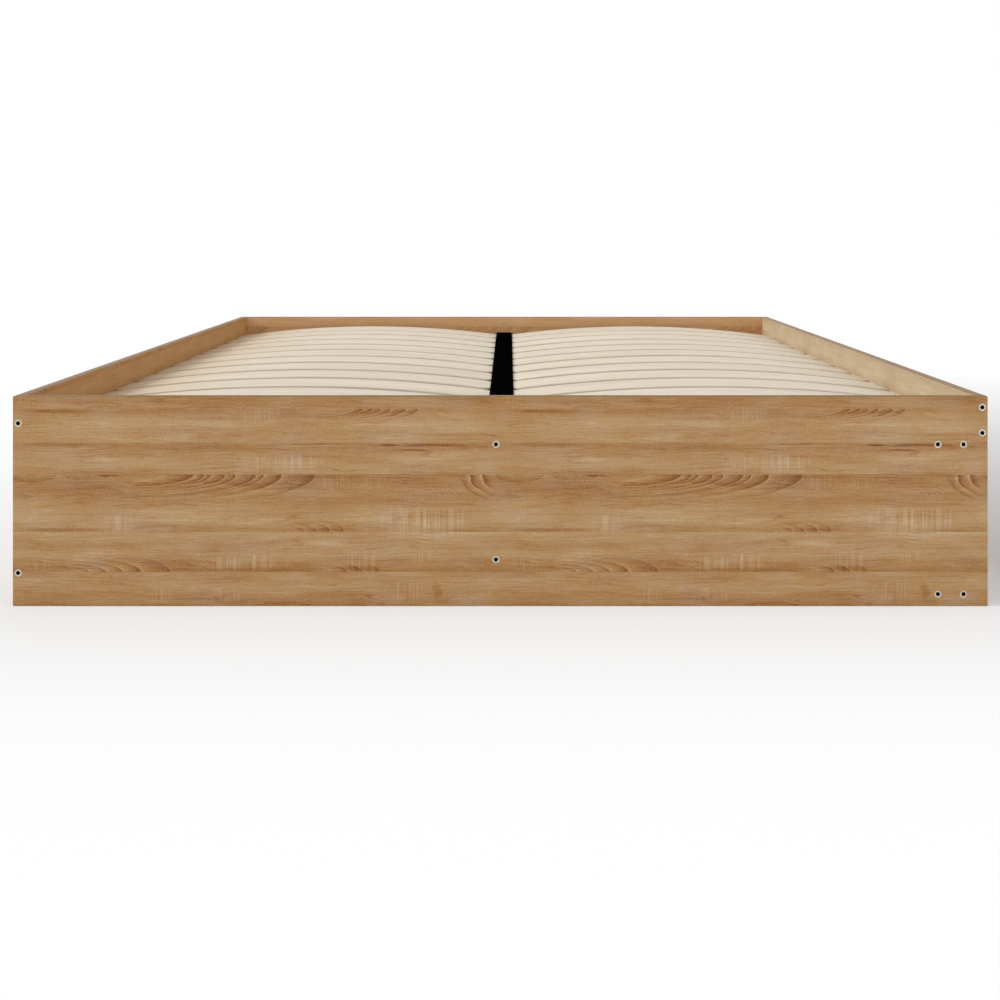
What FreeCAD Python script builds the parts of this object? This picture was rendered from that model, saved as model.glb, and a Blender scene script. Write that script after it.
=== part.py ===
"""Platform storage bed for a 1600 x 2000 mm mattress, with two drawers on its right side.

X runs across the bed (the drawers open towards +X), Y runs from the foot end (-Y) to the
head end (+Y), and Z is up from the floor. The origin lies on the floor under the bed's
centre. All lengths are millimetres.
"""
import FreeCAD, Part
import Sketcher
import os

doc = FreeCAD.newDocument("platform_storage_bed")

# Driving dimensions: name, value, what it is
SIZES = [
    ("mattress_width", 1600, "inside width between the side boards"),
    ("mattress_length", 2000, "inside length between the end panels"),
    ("slat_count", 12, "slats in each of the two columns"),
    ("batten_screw_count", 6, "screws along each batten"),
    ("board_thickness", 18, "laminated board of the carcass"),
    ("panel_height", 352, "end panels and full-height side panel"),
    ("edge_easing", 0.8, "small chamfer on every laminated edge"),
    ("rail_height", 80, "rail over the drawer opening"),
    ("rail_screw_inset", 18.5, "rail screws from the rail's long edges"),
    ("side_screw_drop", 45.3, "upper side-panel screw below the top edge"),
    ("side_screw_rise", 55.6, "lower side-panel screw above the floor"),
    ("flat_board_width", 88, "flat boards over and under the drawer opening"),
    ("flat_board_screw_inset", 22.5, "their screws from their long edges"),
    ("bottom_board_lift", 11, "underside of the lower flat board above the floor"),
    ("partition_offset", 7.2, "middle of the centre partition left of the bed's middle"),
    ("partition_screw_rise", 78.1, "lower partition screw above the floor"),
    ("slat_seat_height", 291, "level that the slat ends rest on"),
    ("batten_width", 30, "battens under the outer slat ends"),
    ("left_batten_height", 27, "batten on the full-height side panel"),
    ("right_batten_height", 10.7, "batten on the upper flat board"),
    ("slat_thickness", 8, "laminated sprung slat"),
    ("slat_width", 126, "slat across its length"),
    ("slat_end_margin", 43.25, "outermost slats to the end panels"),
    ("slat_crown", 26, "rise of the slat's middle over its ends"),
    ("slat_inner_lift", 3, "inner slat ends over the outer ones"),
    ("slat_easing", 1.5, "eased long edges of a slat"),
    ("slat_end_gap", 2, "slat end to the side board"),
    ("slat_beam_gap", 1, "slat end to the centre beam"),
    ("peg_radius", 4, "peg that keeps a slat in place"),
    ("peg_inset", 15, "peg from the slat's end"),
    ("peg_rise", 6, "peg hole in the slat, up from its end"),
    ("peg_depth", 9, "peg below the seat"),
    ("peg_clearance", 0.1, "round and above the peg"),
    ("beam_width", 46, "spine of the steel centre beam"),
    ("beam_ledge", 25, "each ledge beside the spine"),
    ("beam_rise", 11, "spine's top over the ledges that the inner slat ends rest on"),
    ("beam_sheet", 2, "steel of the centre beam"),
    ("beam_end_gap", 0.5, "beam to each end panel"),
    ("screw_shank_radius", 3.5, "connecting screw in the wood"),
    ("screw_length", 50, "connecting screw with its head"),
    ("screw_head_radius", 5.9, "connecting screw head"),
    ("screw_head_height", 3, "connecting screw head"),
    ("screw_sink", 0.3, "head below the panel's face"),
    ("socket_width", 7, "hexagon socket across its flats"),
    ("socket_depth", 2.4, "hexagon socket"),
    ("screw_clearance", 0.05, "round a screw in its hole"),
    ("batten_screw_radius", 2, "wood screw of the battens"),
    ("batten_screw_length", 24, "wood screw of the battens, with its head"),
    ("batten_screw_head_radius", 4, "countersunk head"),
    ("batten_screw_head_height", 2.5, "countersunk head"),
    ("batten_screw_pocket", 6, "counterbore in the left batten"),
    ("divider_screw_low_rise", 60, "lower divider screw above the floor"),
    ("divider_screw_high_rise", 220, "upper divider screw above the floor"),
    ("divider_floor_gap", 1, "divider above the floor"),
    ("drawer_travel_clearance", 60, "rear rollers stop this far short of the front rollers"),
    ("front_thickness", 16, "drawer front board"),
    ("front_floor_gap", 8, "drawer front above the floor"),
    ("front_reveal", 3, "gap round a drawer front"),
    ("grip_width", 120, "finger notch in the front's top edge"),
    ("grip_depth", 30, "finger notch"),
    ("grip_radius", 12, "finger notch corners"),
    ("box_rear_gap", 100.2, "drawer box to the centre partition"),
    ("box_board", 12, "drawer sides and back"),
    ("box_height", 185, "drawer sides"),
    ("base_thickness", 4, "drawer bottom sheet"),
    ("base_lift", 10, "drawer bottom above the sides' lower edges"),
    ("groove_depth", 6, "groove that holds the drawer bottom"),
    ("groove_clearance", 0.2, "round the sheet in its groove"),
    ("runner_space", 12.5, "between the drawer side and the bay wall"),
    ("runner_back_gap", 7.7, "runners ahead of the drawer box's back"),
    ("runner_sheet", 1.2, "steel of the runners"),
    ("runner_flange", 10, "flanges of the bed's runner"),
    ("runner_gap", 1, "bed's runner to drawer's runner"),
    ("runner_lift", 5, "bed's runner above the lower flat board"),
    ("shelf_width", 10, "drawer runner's shelf under the drawer side"),
    ("roller_radius", 8.5, "nylon roller"),
    ("roller_width", 7, "nylon roller"),
    ("roller_clearance", 0.3, "roller to each track"),
    ("roller_inset", 15, "roller axle from the runner's end"),
    ("axle_radius", 2.5, "riveted axle of a roller"),
    ("axle_clearance", 0.05, "axle in its roller"),
    ("box_screw_radius", 2.5, "screw through a drawer side into the back"),
    ("box_screw_length", 38, "the same screw, with its head"),
    ("box_screw_head_radius", 4.5, "its head"),
    ("box_screw_head_height", 2, "its head"),
    ("box_screw_inset", 35, "drawer fixings from the side's top and bottom edges"),
    ("cam_radius", 7.5, "cam that draws a drawer side to the front"),
    ("cam_depth", 9.5, "cam in the drawer side"),
    ("cam_inset", 34, "cam from the drawer front"),
    ("bolt_radius", 3, "bolt that the cam pulls"),
    ("bolt_grip", 10, "bolt in the drawer front"),
]

sheet = doc.addObject("Spreadsheet::Sheet", "sizes")
for row, (alias, number, meaning) in enumerate(SIZES, start=1):
    sheet.set(f"A{row}", alias)
    sheet.set(f"B{row}", str(number))
    sheet.set(f"C{row}", meaning)
    sheet.setAlias(f"B{row}", alias)
doc.recompute()


def value(expression):
    """The number that an expression gives with the sheet as it stands."""
    return float(sheet.evalExpression(expression))


# Places that several pieces share, each worked out from the driving dimensions
INNER_X = "(sizes.mattress_width / 2)"
OUTER_X = "(sizes.mattress_width / 2 + sizes.board_thickness)"
INNER_Y = "(sizes.mattress_length / 2)"
PANEL_Y = "(sizes.mattress_length / 2 + sizes.board_thickness / 2)"
OUTER_Y = "(sizes.mattress_length / 2 + sizes.board_thickness)"
HALF_BOARD = "(sizes.board_thickness / 2)"
SIDE_X = f"({INNER_X} + {HALF_BOARD})"
TOP_BOARD_Z = "(sizes.slat_seat_height - sizes.right_batten_height - sizes.board_thickness / 2)"
BOTTOM_BOARD_Z = "(sizes.bottom_board_lift + sizes.board_thickness / 2)"
FLAT_BOARD_X = f"({INNER_X} - sizes.flat_board_width / 2)"
FLAT_BOARD_SCREW_XS = [
    f"({INNER_X} - sizes.flat_board_width + sizes.flat_board_screw_inset)",
    f"({INNER_X} - sizes.flat_board_screw_inset)",
]
RAIL_Z = "(sizes.panel_height - sizes.rail_height / 2)"
LEDGE_Z = "(sizes.slat_seat_height + sizes.slat_inner_lift)"
BEAM_TOP = f"({LEDGE_Z} + sizes.beam_rise)"
PARTITION_HEIGHT = f"({BEAM_TOP} - sizes.beam_sheet)"
PARTITION_X = "(-sizes.partition_offset)"
PARTITION_FACE_X = f"({PARTITION_X} + {HALF_BOARD})"
SLAT_ROOM = "(sizes.mattress_length - 2 * sizes.slat_end_margin - sizes.slat_width)"
SLAT_PITCH = f"({SLAT_ROOM} / (sizes.slat_count - 1))"
SLAT_INNER_X = "(sizes.beam_width / 2 + sizes.slat_beam_gap)"
SLAT_OUTER_X = f"({INNER_X} - sizes.slat_end_gap)"
SLAT_SPAN = f"({SLAT_OUTER_X} - {SLAT_INNER_X})"
SLAT_MIDDLE_X = f"(({SLAT_OUTER_X} + {SLAT_INNER_X}) / 2)"
SLAT_MIDDLE_Z = "(sizes.slat_seat_height + sizes.slat_inner_lift / 2)"
SLAT_TILT = f"asin(sizes.slat_inner_lift / {SLAT_SPAN})"
INNER_PEG_X = f"({SLAT_INNER_X} + sizes.peg_inset)"
OUTER_PEG_X = f"({SLAT_OUTER_X} - sizes.peg_inset)"
DIVIDER_SCREW_X = FLAT_BOARD_SCREW_XS[0]
DIVIDER_SCREW_RISES = ["sizes.divider_screw_low_rise", "sizes.divider_screw_high_rise"]
DIVIDER_TOP = f"({TOP_BOARD_Z} - {HALF_BOARD})"
DIVIDER_NOTCH_Z = f"({BOTTOM_BOARD_Z} + {HALF_BOARD})"
FLAT_BOARD_EDGE_X = f"({INNER_X} - sizes.flat_board_width)"

# Screw centres in an end panel, as X and Z on the panel's face
SIDE_SCREWS = [
    (f"-{SIDE_X}", "sizes.panel_height - sizes.side_screw_drop"),
    (f"-{SIDE_X}", "sizes.side_screw_rise"),
]
RAIL_SCREWS = [
    (SIDE_X, "sizes.panel_height - sizes.rail_screw_inset"),
    (SIDE_X, "sizes.panel_height - sizes.rail_height + sizes.rail_screw_inset"),
]
TOP_BOARD_SCREWS = [(x, TOP_BOARD_Z) for x in FLAT_BOARD_SCREW_XS]
BOTTOM_BOARD_SCREWS = [(x, BOTTOM_BOARD_Z) for x in FLAT_BOARD_SCREW_XS]
PARTITION_SCREWS = [
    (PARTITION_X, TOP_BOARD_Z),
    (PARTITION_X, "sizes.partition_screw_rise"),
]
PANEL_SCREWS = SIDE_SCREWS + RAIL_SCREWS + TOP_BOARD_SCREWS + BOTTOM_BOARD_SCREWS + PARTITION_SCREWS

SCREW_SEAT = "(sizes.screw_head_height + sizes.screw_sink)"
SCREW_REACH = "(sizes.screw_length + sizes.screw_sink - sizes.board_thickness)"
SHANK_HOLE = "sizes.screw_shank_radius + sizes.screw_clearance"
HEAD_HOLE = "sizes.screw_head_radius + sizes.screw_clearance"

pieces = []


def place_body(body, x, y, z):
    """Ties the body's place to the sheet."""
    for axis, expression in (("x", x), ("y", y), ("z", z)):
        if expression != "0":
            body.setExpression(f"Placement.Base.{axis}", expression)


def new_piece(label, x="0", y="0", z="0"):
    """An empty body for one piece of the bed, placed by three expressions."""
    body = doc.addObject("PartDesign::Body", label)
    body.Label = label
    place_body(body, x, y, z)
    pieces.append(body)
    return body


def new_sketch(body, name, plane, lift="0"):
    """A sketch on one of the body's own planes, moved along the plane's normal by lift."""
    sketch = body.newObject("Sketcher::SketchObject", name)
    support = [feature for feature in body.Origin.OriginFeatures if feature.Role == plane]
    sketch.AttachmentSupport = (support[0], [""])
    sketch.MapMode = "FlatFace"
    sketch.setExpression("AttachmentOffset.Base.z", lift)
    return sketch


def hold_point(sketch, geometry, point, x, y):
    """Holds one point of the sketch at the coordinates that two expressions give."""
    for kind, expression in (("DistanceX", x), ("DistanceY", y)):
        constraint = Sketcher.Constraint(kind, -1, 1, geometry, point, value(expression))
        row = sketch.addConstraint(constraint)
        sketch.setExpression(f"Constraints[{row}]", expression)


def draw_outline(sketch, corners):
    """A closed outline of straight lines through the given corners."""
    points = [FreeCAD.Vector(value(x), value(y), 0) for x, y in corners]
    for start, end in zip(points, points[1:] + points[:1]):
        sketch.addGeometry(Part.LineSegment(start, end), False)
    for index, (x, y) in enumerate(corners):
        following = (index + 1) % len(corners)
        sketch.addConstraint(Sketcher.Constraint("Coincident", index, 2, following, 1))
        hold_point(sketch, index, 1, x, y)


def draw_circles(sketch, centres, radius):
    """One circle at each centre, all of the same radius."""
    for x, y in centres:
        centre = FreeCAD.Vector(value(x), value(y), 0)
        circle = Part.Circle(centre, FreeCAD.Vector(0, 0, 1), value(radius))
        geometry = sketch.addGeometry(circle, False)
        hold_point(sketch, geometry, 3, x, y)
        row = sketch.addConstraint(Sketcher.Constraint("Radius", geometry, value(radius)))
        sketch.setExpression(f"Constraints[{row}]", radius)


def add_pad(body, sketch, length):
    """Thickens the sketch by the length, half to each side of its plane."""
    pad = body.newObject("PartDesign::Pad", "pad")
    pad.Profile = sketch
    pad.SideType = "Symmetric"
    pad.setExpression("Length", length)
    doc.recompute()
    return pad


def cut_pocket(body, sketch, depth="", backwards=False):
    """Cuts the sketch into the body: to a depth against its normal, or right through."""
    pocket = body.newObject("PartDesign::Pocket", "pocket")
    before = body.Shape.Volume
    pocket.Profile = sketch
    if depth:
        pocket.setExpression("Length", depth)
        pocket.Reversed = backwards
    else:
        pocket.Type = "ThroughAll"
        pocket.SideType = "Symmetric"
    doc.recompute()
    if body.Shape.Volume >= before:
        raise RuntimeError(f"{body.Label}: {sketch.Label} cuts nothing")


def ease_edges(body, feature):
    """A small chamfer on every edge that the feature has."""
    chamfer = body.newObject("PartDesign::Chamfer", "eased_edges")
    names = [f"Edge{index + 1}" for index in range(len(feature.Shape.Edges))]
    chamfer.Base = (feature, names)
    chamfer.setExpression("Size", "sizes.edge_easing")
    doc.recompute()


def rectangle(x_low, x_high, y_low, y_high):
    """The four corners of an upright rectangle."""
    return [(x_low, y_low), (x_high, y_low), (x_high, y_high), (x_low, y_high)]


def centred_rectangle(width, height):
    """The four corners of a rectangle about the sketch's origin."""
    return rectangle(f"-{width} / 2", f"{width} / 2", f"-{height} / 2", f"{height} / 2")


def board(label, plane, corners, thickness, x="0", y="0", z="0"):
    """A flat laminated board: its outline, its thickness, and eased edges."""
    body = new_piece(label, x, y, z)
    sketch = new_sketch(body, "outline", plane)
    draw_outline(sketch, corners)
    pad = add_pad(body, sketch, thickness)
    ease_edges(body, pad)
    return body


def bore_board_ends(body, centres):
    """Holes for connecting screws in both ends of a board that runs the bed's length."""
    for name, side in (("foot_bores", 1), ("head_bores", -1)):
        sketch = new_sketch(body, name, "XZ_Plane", f"{side} * {INNER_Y}")
        draw_circles(sketch, centres, SHANK_HOLE)
        cut_pocket(body, sketch, f"{SCREW_REACH} + sizes.screw_clearance", side < 0)


def make_end_panel(label, side):
    """A full-width end panel; side is -1 for the foot and 1 for the head."""
    corners = rectangle(f"-{OUTER_X}", OUTER_X, "0", "sizes.panel_height")
    panel = board(label, "XZ_Plane", corners, "sizes.board_thickness", y=f"{side} * {PANEL_Y}")
    shanks = new_sketch(panel, "shank_holes", "XZ_Plane")
    draw_circles(shanks, PANEL_SCREWS, SHANK_HOLE)
    cut_pocket(panel, shanks)
    heads = new_sketch(panel, "head_seats", "XZ_Plane", f"{-side} * {HALF_BOARD}")
    draw_circles(heads, PANEL_SCREWS, HEAD_HOLE)
    cut_pocket(panel, heads, SCREW_SEAT, side > 0)


def make_side_boards():
    """The full-height left panel, and the rail and two flat boards of the drawer side."""
    tall = rectangle(f"-{INNER_Y}", INNER_Y, "0", "sizes.panel_height")
    left = board("left_side_panel", "YZ_Plane", tall, "sizes.board_thickness", x=f"-{SIDE_X}")
    bore_board_ends(left, [("0", z) for x, z in SIDE_SCREWS])

    low = rectangle(f"-{INNER_Y}", INNER_Y, "-sizes.rail_height / 2", "sizes.rail_height / 2")
    rail = board("right_side_rail", "YZ_Plane", low, "sizes.board_thickness", x=SIDE_X, z=RAIL_Z)
    bore_board_ends(rail, [("0", f"{z} - {RAIL_Z}") for x, z in RAIL_SCREWS])

    flat = centred_rectangle("sizes.flat_board_width", "sizes.mattress_length")
    inner_screws = [(f"{x} - {FLAT_BOARD_X}", "0") for x in FLAT_BOARD_SCREW_XS]
    divider_hole = [(f"{DIVIDER_SCREW_X} - {FLAT_BOARD_X}", "0")]
    flat_boards = (("right_top_board", TOP_BOARD_Z, 1), ("right_bottom_board", BOTTOM_BOARD_Z, -1))
    for label, z, side in flat_boards:
        flat_board = board(label, "XY_Plane", flat, "sizes.board_thickness", x=FLAT_BOARD_X, z=z)
        bore_board_ends(flat_board, inner_screws)
        shank = new_sketch(flat_board, "divider_shank", "XY_Plane")
        draw_circles(shank, divider_hole, SHANK_HOLE)
        cut_pocket(flat_board, shank)
        head = new_sketch(flat_board, "divider_head", "XY_Plane", f"{side} * {HALF_BOARD}")
        draw_circles(head, divider_hole, HEAD_HOLE)
        cut_pocket(flat_board, head, SCREW_SEAT, side < 0)


def make_partition():
    """The upright board along the bed's middle, up to the underside of the beam's spine."""
    corners = rectangle(f"-{INNER_Y}", INNER_Y, "0", PARTITION_HEIGHT)
    partition = board("centre_partition", "YZ_Plane", corners, "sizes.board_thickness", x=PARTITION_X)
    bore_board_ends(partition, [("0", z) for x, z in PARTITION_SCREWS])
    holes = [("0", z) for z in DIVIDER_SCREW_RISES]
    shanks = new_sketch(partition, "divider_shanks", "YZ_Plane")
    draw_circles(shanks, holes, SHANK_HOLE)
    cut_pocket(partition, shanks)
    heads = new_sketch(partition, "divider_heads", "YZ_Plane", f"-{HALF_BOARD}")
    draw_circles(heads, holes, HEAD_HOLE)
    cut_pocket(partition, heads, SCREW_SEAT, True)


def make_divider():
    """The cross board between the drawer bays, notched over the lower flat board."""
    corners = [
        (PARTITION_FACE_X, "sizes.divider_floor_gap"),
        (FLAT_BOARD_EDGE_X, "sizes.divider_floor_gap"),
        (FLAT_BOARD_EDGE_X, DIVIDER_NOTCH_Z),
        (INNER_X, DIVIDER_NOTCH_Z),
        (INNER_X, DIVIDER_TOP),
        (PARTITION_FACE_X, DIVIDER_TOP),
    ]
    divider = board("drawer_divider", "XZ_Plane", corners, "sizes.board_thickness")
    reach = f"{SCREW_REACH} + sizes.screw_clearance"
    sketch = new_sketch(divider, "partition_bores", "YZ_Plane", PARTITION_FACE_X)
    draw_circles(sketch, [("0", z) for z in DIVIDER_SCREW_RISES], SHANK_HOLE)
    cut_pocket(divider, sketch, reach, True)
    for name, z, backwards in (("top_bore", DIVIDER_TOP, False), ("notch_bore", DIVIDER_NOTCH_Z, True)):
        sketch = new_sketch(divider, name, "XY_Plane", z)
        draw_circles(sketch, [(DIVIDER_SCREW_X, "0")], SHANK_HOLE)
        cut_pocket(divider, sketch, reach, backwards)


def along_bed(index, count, pitch):
    """The Y place of one of several pieces that are spread evenly about the bed's middle."""
    return f"(({index} - ({count} - 1) / 2) * {pitch})"


SLAT_TOTAL = int(value("sizes.slat_count"))
SLAT_YS = [along_bed(index, "sizes.slat_count", SLAT_PITCH) for index in range(SLAT_TOTAL)]
BATTEN_SCREW_TOTAL = int(value("sizes.batten_screw_count"))
BATTEN_SCREW_YS = [
    along_bed(index, "sizes.batten_screw_count", f"(2 * {SLAT_PITCH})")
    for index in range(BATTEN_SCREW_TOTAL)
]
PEG_HOLE = "sizes.peg_radius + sizes.peg_clearance"
LEFT_BATTEN_Z = "(sizes.slat_seat_height - sizes.left_batten_height / 2)"
BATTEN_X = f"({INNER_X} - sizes.batten_width / 2)"


def make_battens():
    """The two wooden strips that the outer slat ends rest on."""
    for label, side, height in (
        ("left_slat_batten", -1, "sizes.left_batten_height"),
        ("right_slat_batten", 1, "sizes.right_batten_height"),
    ):
        flat = centred_rectangle("sizes.batten_width", "sizes.mattress_length")
        middle = f"(sizes.slat_seat_height - {height} / 2)"
        batten = board(label, "XY_Plane", flat, height, x=f"{side} * {BATTEN_X}", z=middle)
        pegs = [(f"{side} * ({OUTER_PEG_X} - {BATTEN_X})", y) for y in SLAT_YS]
        sketch = new_sketch(batten, "peg_holes", "XY_Plane", f"{height} / 2")
        draw_circles(sketch, pegs, PEG_HOLE)
        cut_pocket(batten, sketch, "sizes.peg_depth + sizes.peg_clearance")
        if side > 0:
            screws = [("0", y) for y in BATTEN_SCREW_YS]
            shank_plane, head_lift = "XY_Plane", f"{height} / 2"
            sink = "sizes.batten_screw_head_height"
        else:
            screws = [(y, "0") for y in BATTEN_SCREW_YS]
            shank_plane, head_lift = "YZ_Plane", "sizes.batten_width / 2"
            sink = "sizes.batten_screw_pocket + sizes.batten_screw_head_height"
        shanks = new_sketch(batten, "screw_shanks", shank_plane)
        draw_circles(shanks, screws, "sizes.batten_screw_radius + sizes.screw_clearance")
        cut_pocket(batten, shanks)
        heads = new_sketch(batten, "screw_heads", shank_plane, head_lift)
        draw_circles(heads, screws, "sizes.batten_screw_head_radius + sizes.screw_clearance")
        cut_pocket(batten, heads, sink)


def bore_for_batten_screws():
    """Pilot holes for the batten screws in the left panel and the upper flat board."""
    radius = "sizes.batten_screw_radius + sizes.screw_clearance"
    left_reach = "(sizes.batten_screw_length - sizes.batten_width + sizes.batten_screw_pocket)"
    right_reach = "(sizes.batten_screw_length - sizes.right_batten_height)"
    left = doc.getObject("left_side_panel")
    sketch = new_sketch(left, "batten_pilots", "YZ_Plane", HALF_BOARD)
    draw_circles(sketch, [(y, LEFT_BATTEN_Z) for y in BATTEN_SCREW_YS], radius)
    cut_pocket(left, sketch, f"{left_reach} + sizes.screw_clearance")
    top = doc.getObject("right_top_board")
    sketch = new_sketch(top, "batten_pilots", "XY_Plane", HALF_BOARD)
    draw_circles(sketch, [(f"{BATTEN_X} - {FLAT_BOARD_X}", y) for y in BATTEN_SCREW_YS], radius)
    cut_pocket(top, sketch, f"{right_reach} + sizes.screw_clearance")


def make_centre_beam():
    """A steel hat section over the partition: a raised spine with a ledge on each side."""
    spine = "(sizes.beam_width / 2)"
    edge = f"({spine} + sizes.beam_ledge)"
    inside = f"({spine} - sizes.beam_sheet)"
    ledge_under = "(-sizes.beam_sheet)"
    spine_under = "(sizes.beam_rise - sizes.beam_sheet)"
    half = [
        (edge, ledge_under),
        (edge, "0"),
        (spine, "0"),
        (spine, "sizes.beam_rise"),
    ]
    under_half = [(inside, spine_under), (inside, ledge_under)]
    mirrored = [(f"-{x}", z) for x, z in reversed(half)]
    under_mirrored = [(f"-{x}", z) for x, z in reversed(under_half)]
    corners = half + mirrored + under_mirrored + under_half
    beam = new_piece("centre_beam", z=LEDGE_Z)
    sketch = new_sketch(beam, "section", "XZ_Plane")
    draw_outline(sketch, corners)
    add_pad(beam, sketch, "sizes.mattress_length - 2 * sizes.beam_end_gap")
    pegs = [(f"{side} * {INNER_PEG_X}", y) for side in (-1, 1) for y in SLAT_YS]
    sketch = new_sketch(beam, "peg_holes", "XY_Plane")
    draw_circles(sketch, pegs, PEG_HOLE)
    cut_pocket(beam, sketch, "2 * sizes.beam_sheet")


def draw_crowned_strip(sketch):
    """A slat's side view: two arcs on one centre, with upright ends."""
    half_span = f"({SLAT_SPAN} / 2)"
    radius = f"(({half_span}^2 + sizes.slat_crown^2) / (2 * sizes.slat_crown))"
    centre = FreeCAD.Vector(0, value(f"sizes.slat_crown - {radius}"), 0)
    for index, arc_radius in enumerate((radius, f"({radius} + sizes.slat_thickness)")):
        reach = value(half_span)
        size = value(arc_radius)
        height = centre.y + (size ** 2 - reach ** 2) ** 0.5
        left = FreeCAD.Vector(-reach, height, 0)
        right = FreeCAD.Vector(reach, height, 0)
        crown = FreeCAD.Vector(0, centre.y + size, 0)
        sketch.addGeometry(Part.Arc(right, crown, left), False)
        row = sketch.addConstraint(Sketcher.Constraint("Radius", index, size))
        sketch.setExpression(f"Constraints[{row}]", arc_radius)
    low, high = (sketch.Geometry[0], sketch.Geometry[1])
    sketch.addGeometry(Part.LineSegment(low.StartPoint, high.StartPoint), False)
    sketch.addGeometry(Part.LineSegment(low.EndPoint, high.EndPoint), False)
    for line, point in ((2, 1), (3, 2)):
        sketch.addConstraint(Sketcher.Constraint("Coincident", line, 1, 0, point))
        sketch.addConstraint(Sketcher.Constraint("Coincident", line, 2, 1, point))
        sketch.addConstraint(Sketcher.Constraint("Vertical", line))
    sketch.addConstraint(Sketcher.Constraint("Coincident", 0, 3, 1, 3))
    hold_point(sketch, 0, 1, half_span, "0")
    hold_point(sketch, 0, 2, f"-{half_span}", "0")


def make_slat(label, side, y):
    """One crowned slat, leaning outwards, with eased long edges and a blind peg hole near each end."""
    slat = new_piece(label, f"{side} * {SLAT_MIDDLE_X}", y, SLAT_MIDDLE_Z)
    lean = FreeCAD.Rotation(FreeCAD.Vector(0, side, 0), value(SLAT_TILT))
    slat.Placement = FreeCAD.Placement(slat.Placement.Base, lean)
    slat.setExpression("Placement.Rotation.Angle", SLAT_TILT)
    sketch = new_sketch(slat, "side_view", "XZ_Plane")
    draw_crowned_strip(sketch)
    pad = add_pad(slat, sketch, "sizes.slat_width")
    arcs = [
        f"Edge{index + 1}"
        for index, edge in enumerate(pad.Shape.Edges)
        if isinstance(edge.Curve, Part.Circle)
    ]
    easing = slat.newObject("PartDesign::Chamfer", "eased_edges")
    easing.Base = (pad, arcs)
    easing.setExpression("Size", "sizes.slat_easing")
    doc.recompute()
    holes = new_sketch(slat, "peg_holes", "XY_Plane")
    peg_x = f"({SLAT_SPAN} / 2 - sizes.peg_inset)"
    draw_circles(holes, [(f"-{peg_x}", "0"), (peg_x, "0")], PEG_HOLE)
    cut_pocket(slat, holes, "sizes.peg_rise", True)


def make_slats():
    """Two columns of slats, numbered from the foot end."""
    for column, side in (("left", -1), ("right", 1)):
        for index, y in enumerate(SLAT_YS, start=1):
            make_slat(f"{column}_slat_{index}", side, y)


BAY_WALLS = {
    "foot": (f"(-{INNER_Y})", f"(-{HALF_BOARD})"),
    "head": (HALF_BOARD, INNER_Y),
}
TRACK_Z = f"({DIVIDER_NOTCH_Z} + sizes.runner_lift + sizes.runner_sheet)"
AXLE_Z = "(sizes.roller_radius + sizes.roller_clearance)"
SHELF_TOP_Z = "(sizes.runner_gap)"
HOOK_UNDER_Z = "(2 * sizes.roller_radius + 2 * sizes.roller_clearance)"
HOOK_TOP_Z = f"({HOOK_UNDER_Z} + sizes.runner_sheet)"
TRACK_TOP_Z = f"({HOOK_TOP_Z} + 2 * sizes.roller_clearance)"
BOX_BOTTOM_Z = f"({TRACK_Z} + {SHELF_TOP_Z})"
BOX_FRONT_X = f"({OUTER_X} - sizes.front_thickness)"
BOX_BACK_X = f"({PARTITION_FACE_X} + sizes.box_rear_gap)"
BOX_DEPTH = f"({BOX_FRONT_X} - {BOX_BACK_X})"
RUNNER_FRONT_X = f"({INNER_X} - sizes.roller_clearance)"
RUNNER_BACK_X = f"({BOX_BACK_X} + sizes.runner_back_gap)"
RUNNER_LENGTH = f"({RUNNER_FRONT_X} - {RUNNER_BACK_X})"
FRONT_AXLE_X = f"({RUNNER_FRONT_X} - sizes.roller_inset)"
REAR_AXLE_X = f"({RUNNER_BACK_X} + sizes.roller_inset)"
RUNNER_MIDDLE_X = f"({RUNNER_FRONT_X} - {RUNNER_LENGTH} / 2)"
ROLLER_DIAMETER = "(2 * sizes.roller_radius)"
DRAWER_TRAVEL = f"({FRONT_AXLE_X} - {REAR_AXLE_X} - {ROLLER_DIAMETER} - sizes.drawer_travel_clearance)"
BOX_MIDDLE_X = f"({BOX_FRONT_X} - {BOX_DEPTH} / 2)"
BACK_X = f"({BOX_BACK_X} + sizes.box_board / 2)"
BASE_Z = "(sizes.base_lift + sizes.base_thickness / 2)"
BACK_LOW_Z = "(sizes.base_lift + sizes.base_thickness)"
FIXING_ZS = ["(sizes.box_screw_inset)", "(sizes.box_height - sizes.box_screw_inset)"]


def bay_side(end, index):
    """One wall of a bay: the wall's Y place, and the direction from it into the bay."""
    return BAY_WALLS[end][index], (1, -1)[index]


def make_runner_pair(label, corners, axle_x, axle_y, end):
    """Both steel runners of one kind in a bay, each with its riveted axle."""
    pair = doc.addObject("Part::Compound", label)
    pair.Label = label
    runners = []
    for index, hand in enumerate(("left", "right")):
        wall, inward = bay_side(end, index)
        runner = doc.addObject("PartDesign::Body", f"{label}_{hand}")
        place_body(runner, "0", wall, TRACK_Z)
        sketch = new_sketch(runner, "section", "YZ_Plane", RUNNER_MIDDLE_X)
        draw_outline(sketch, [(f"{inward} * {y}", z) for y, z in corners])
        add_pad(runner, sketch, RUNNER_LENGTH)
        low, high = axle_y
        axle = new_sketch(runner, "axle", "XZ_Plane", f"{-inward} * ({low} + {high}) / 2")
        draw_circles(axle, [(axle_x, AXLE_Z)], "sizes.axle_radius")
        add_pad(runner, axle, f"{high} - {low}")
        runners.append(runner)
    pair.Links = runners
    pieces.append(pair)


ROLLER_MIDDLE_Y = "(sizes.runner_space - sizes.runner_gap) / 2"
HOOK_EDGE_Y = "(sizes.runner_sheet + sizes.runner_gap)"
DRAWER_WEB_Y = "(sizes.runner_space - sizes.runner_sheet)"


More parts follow.
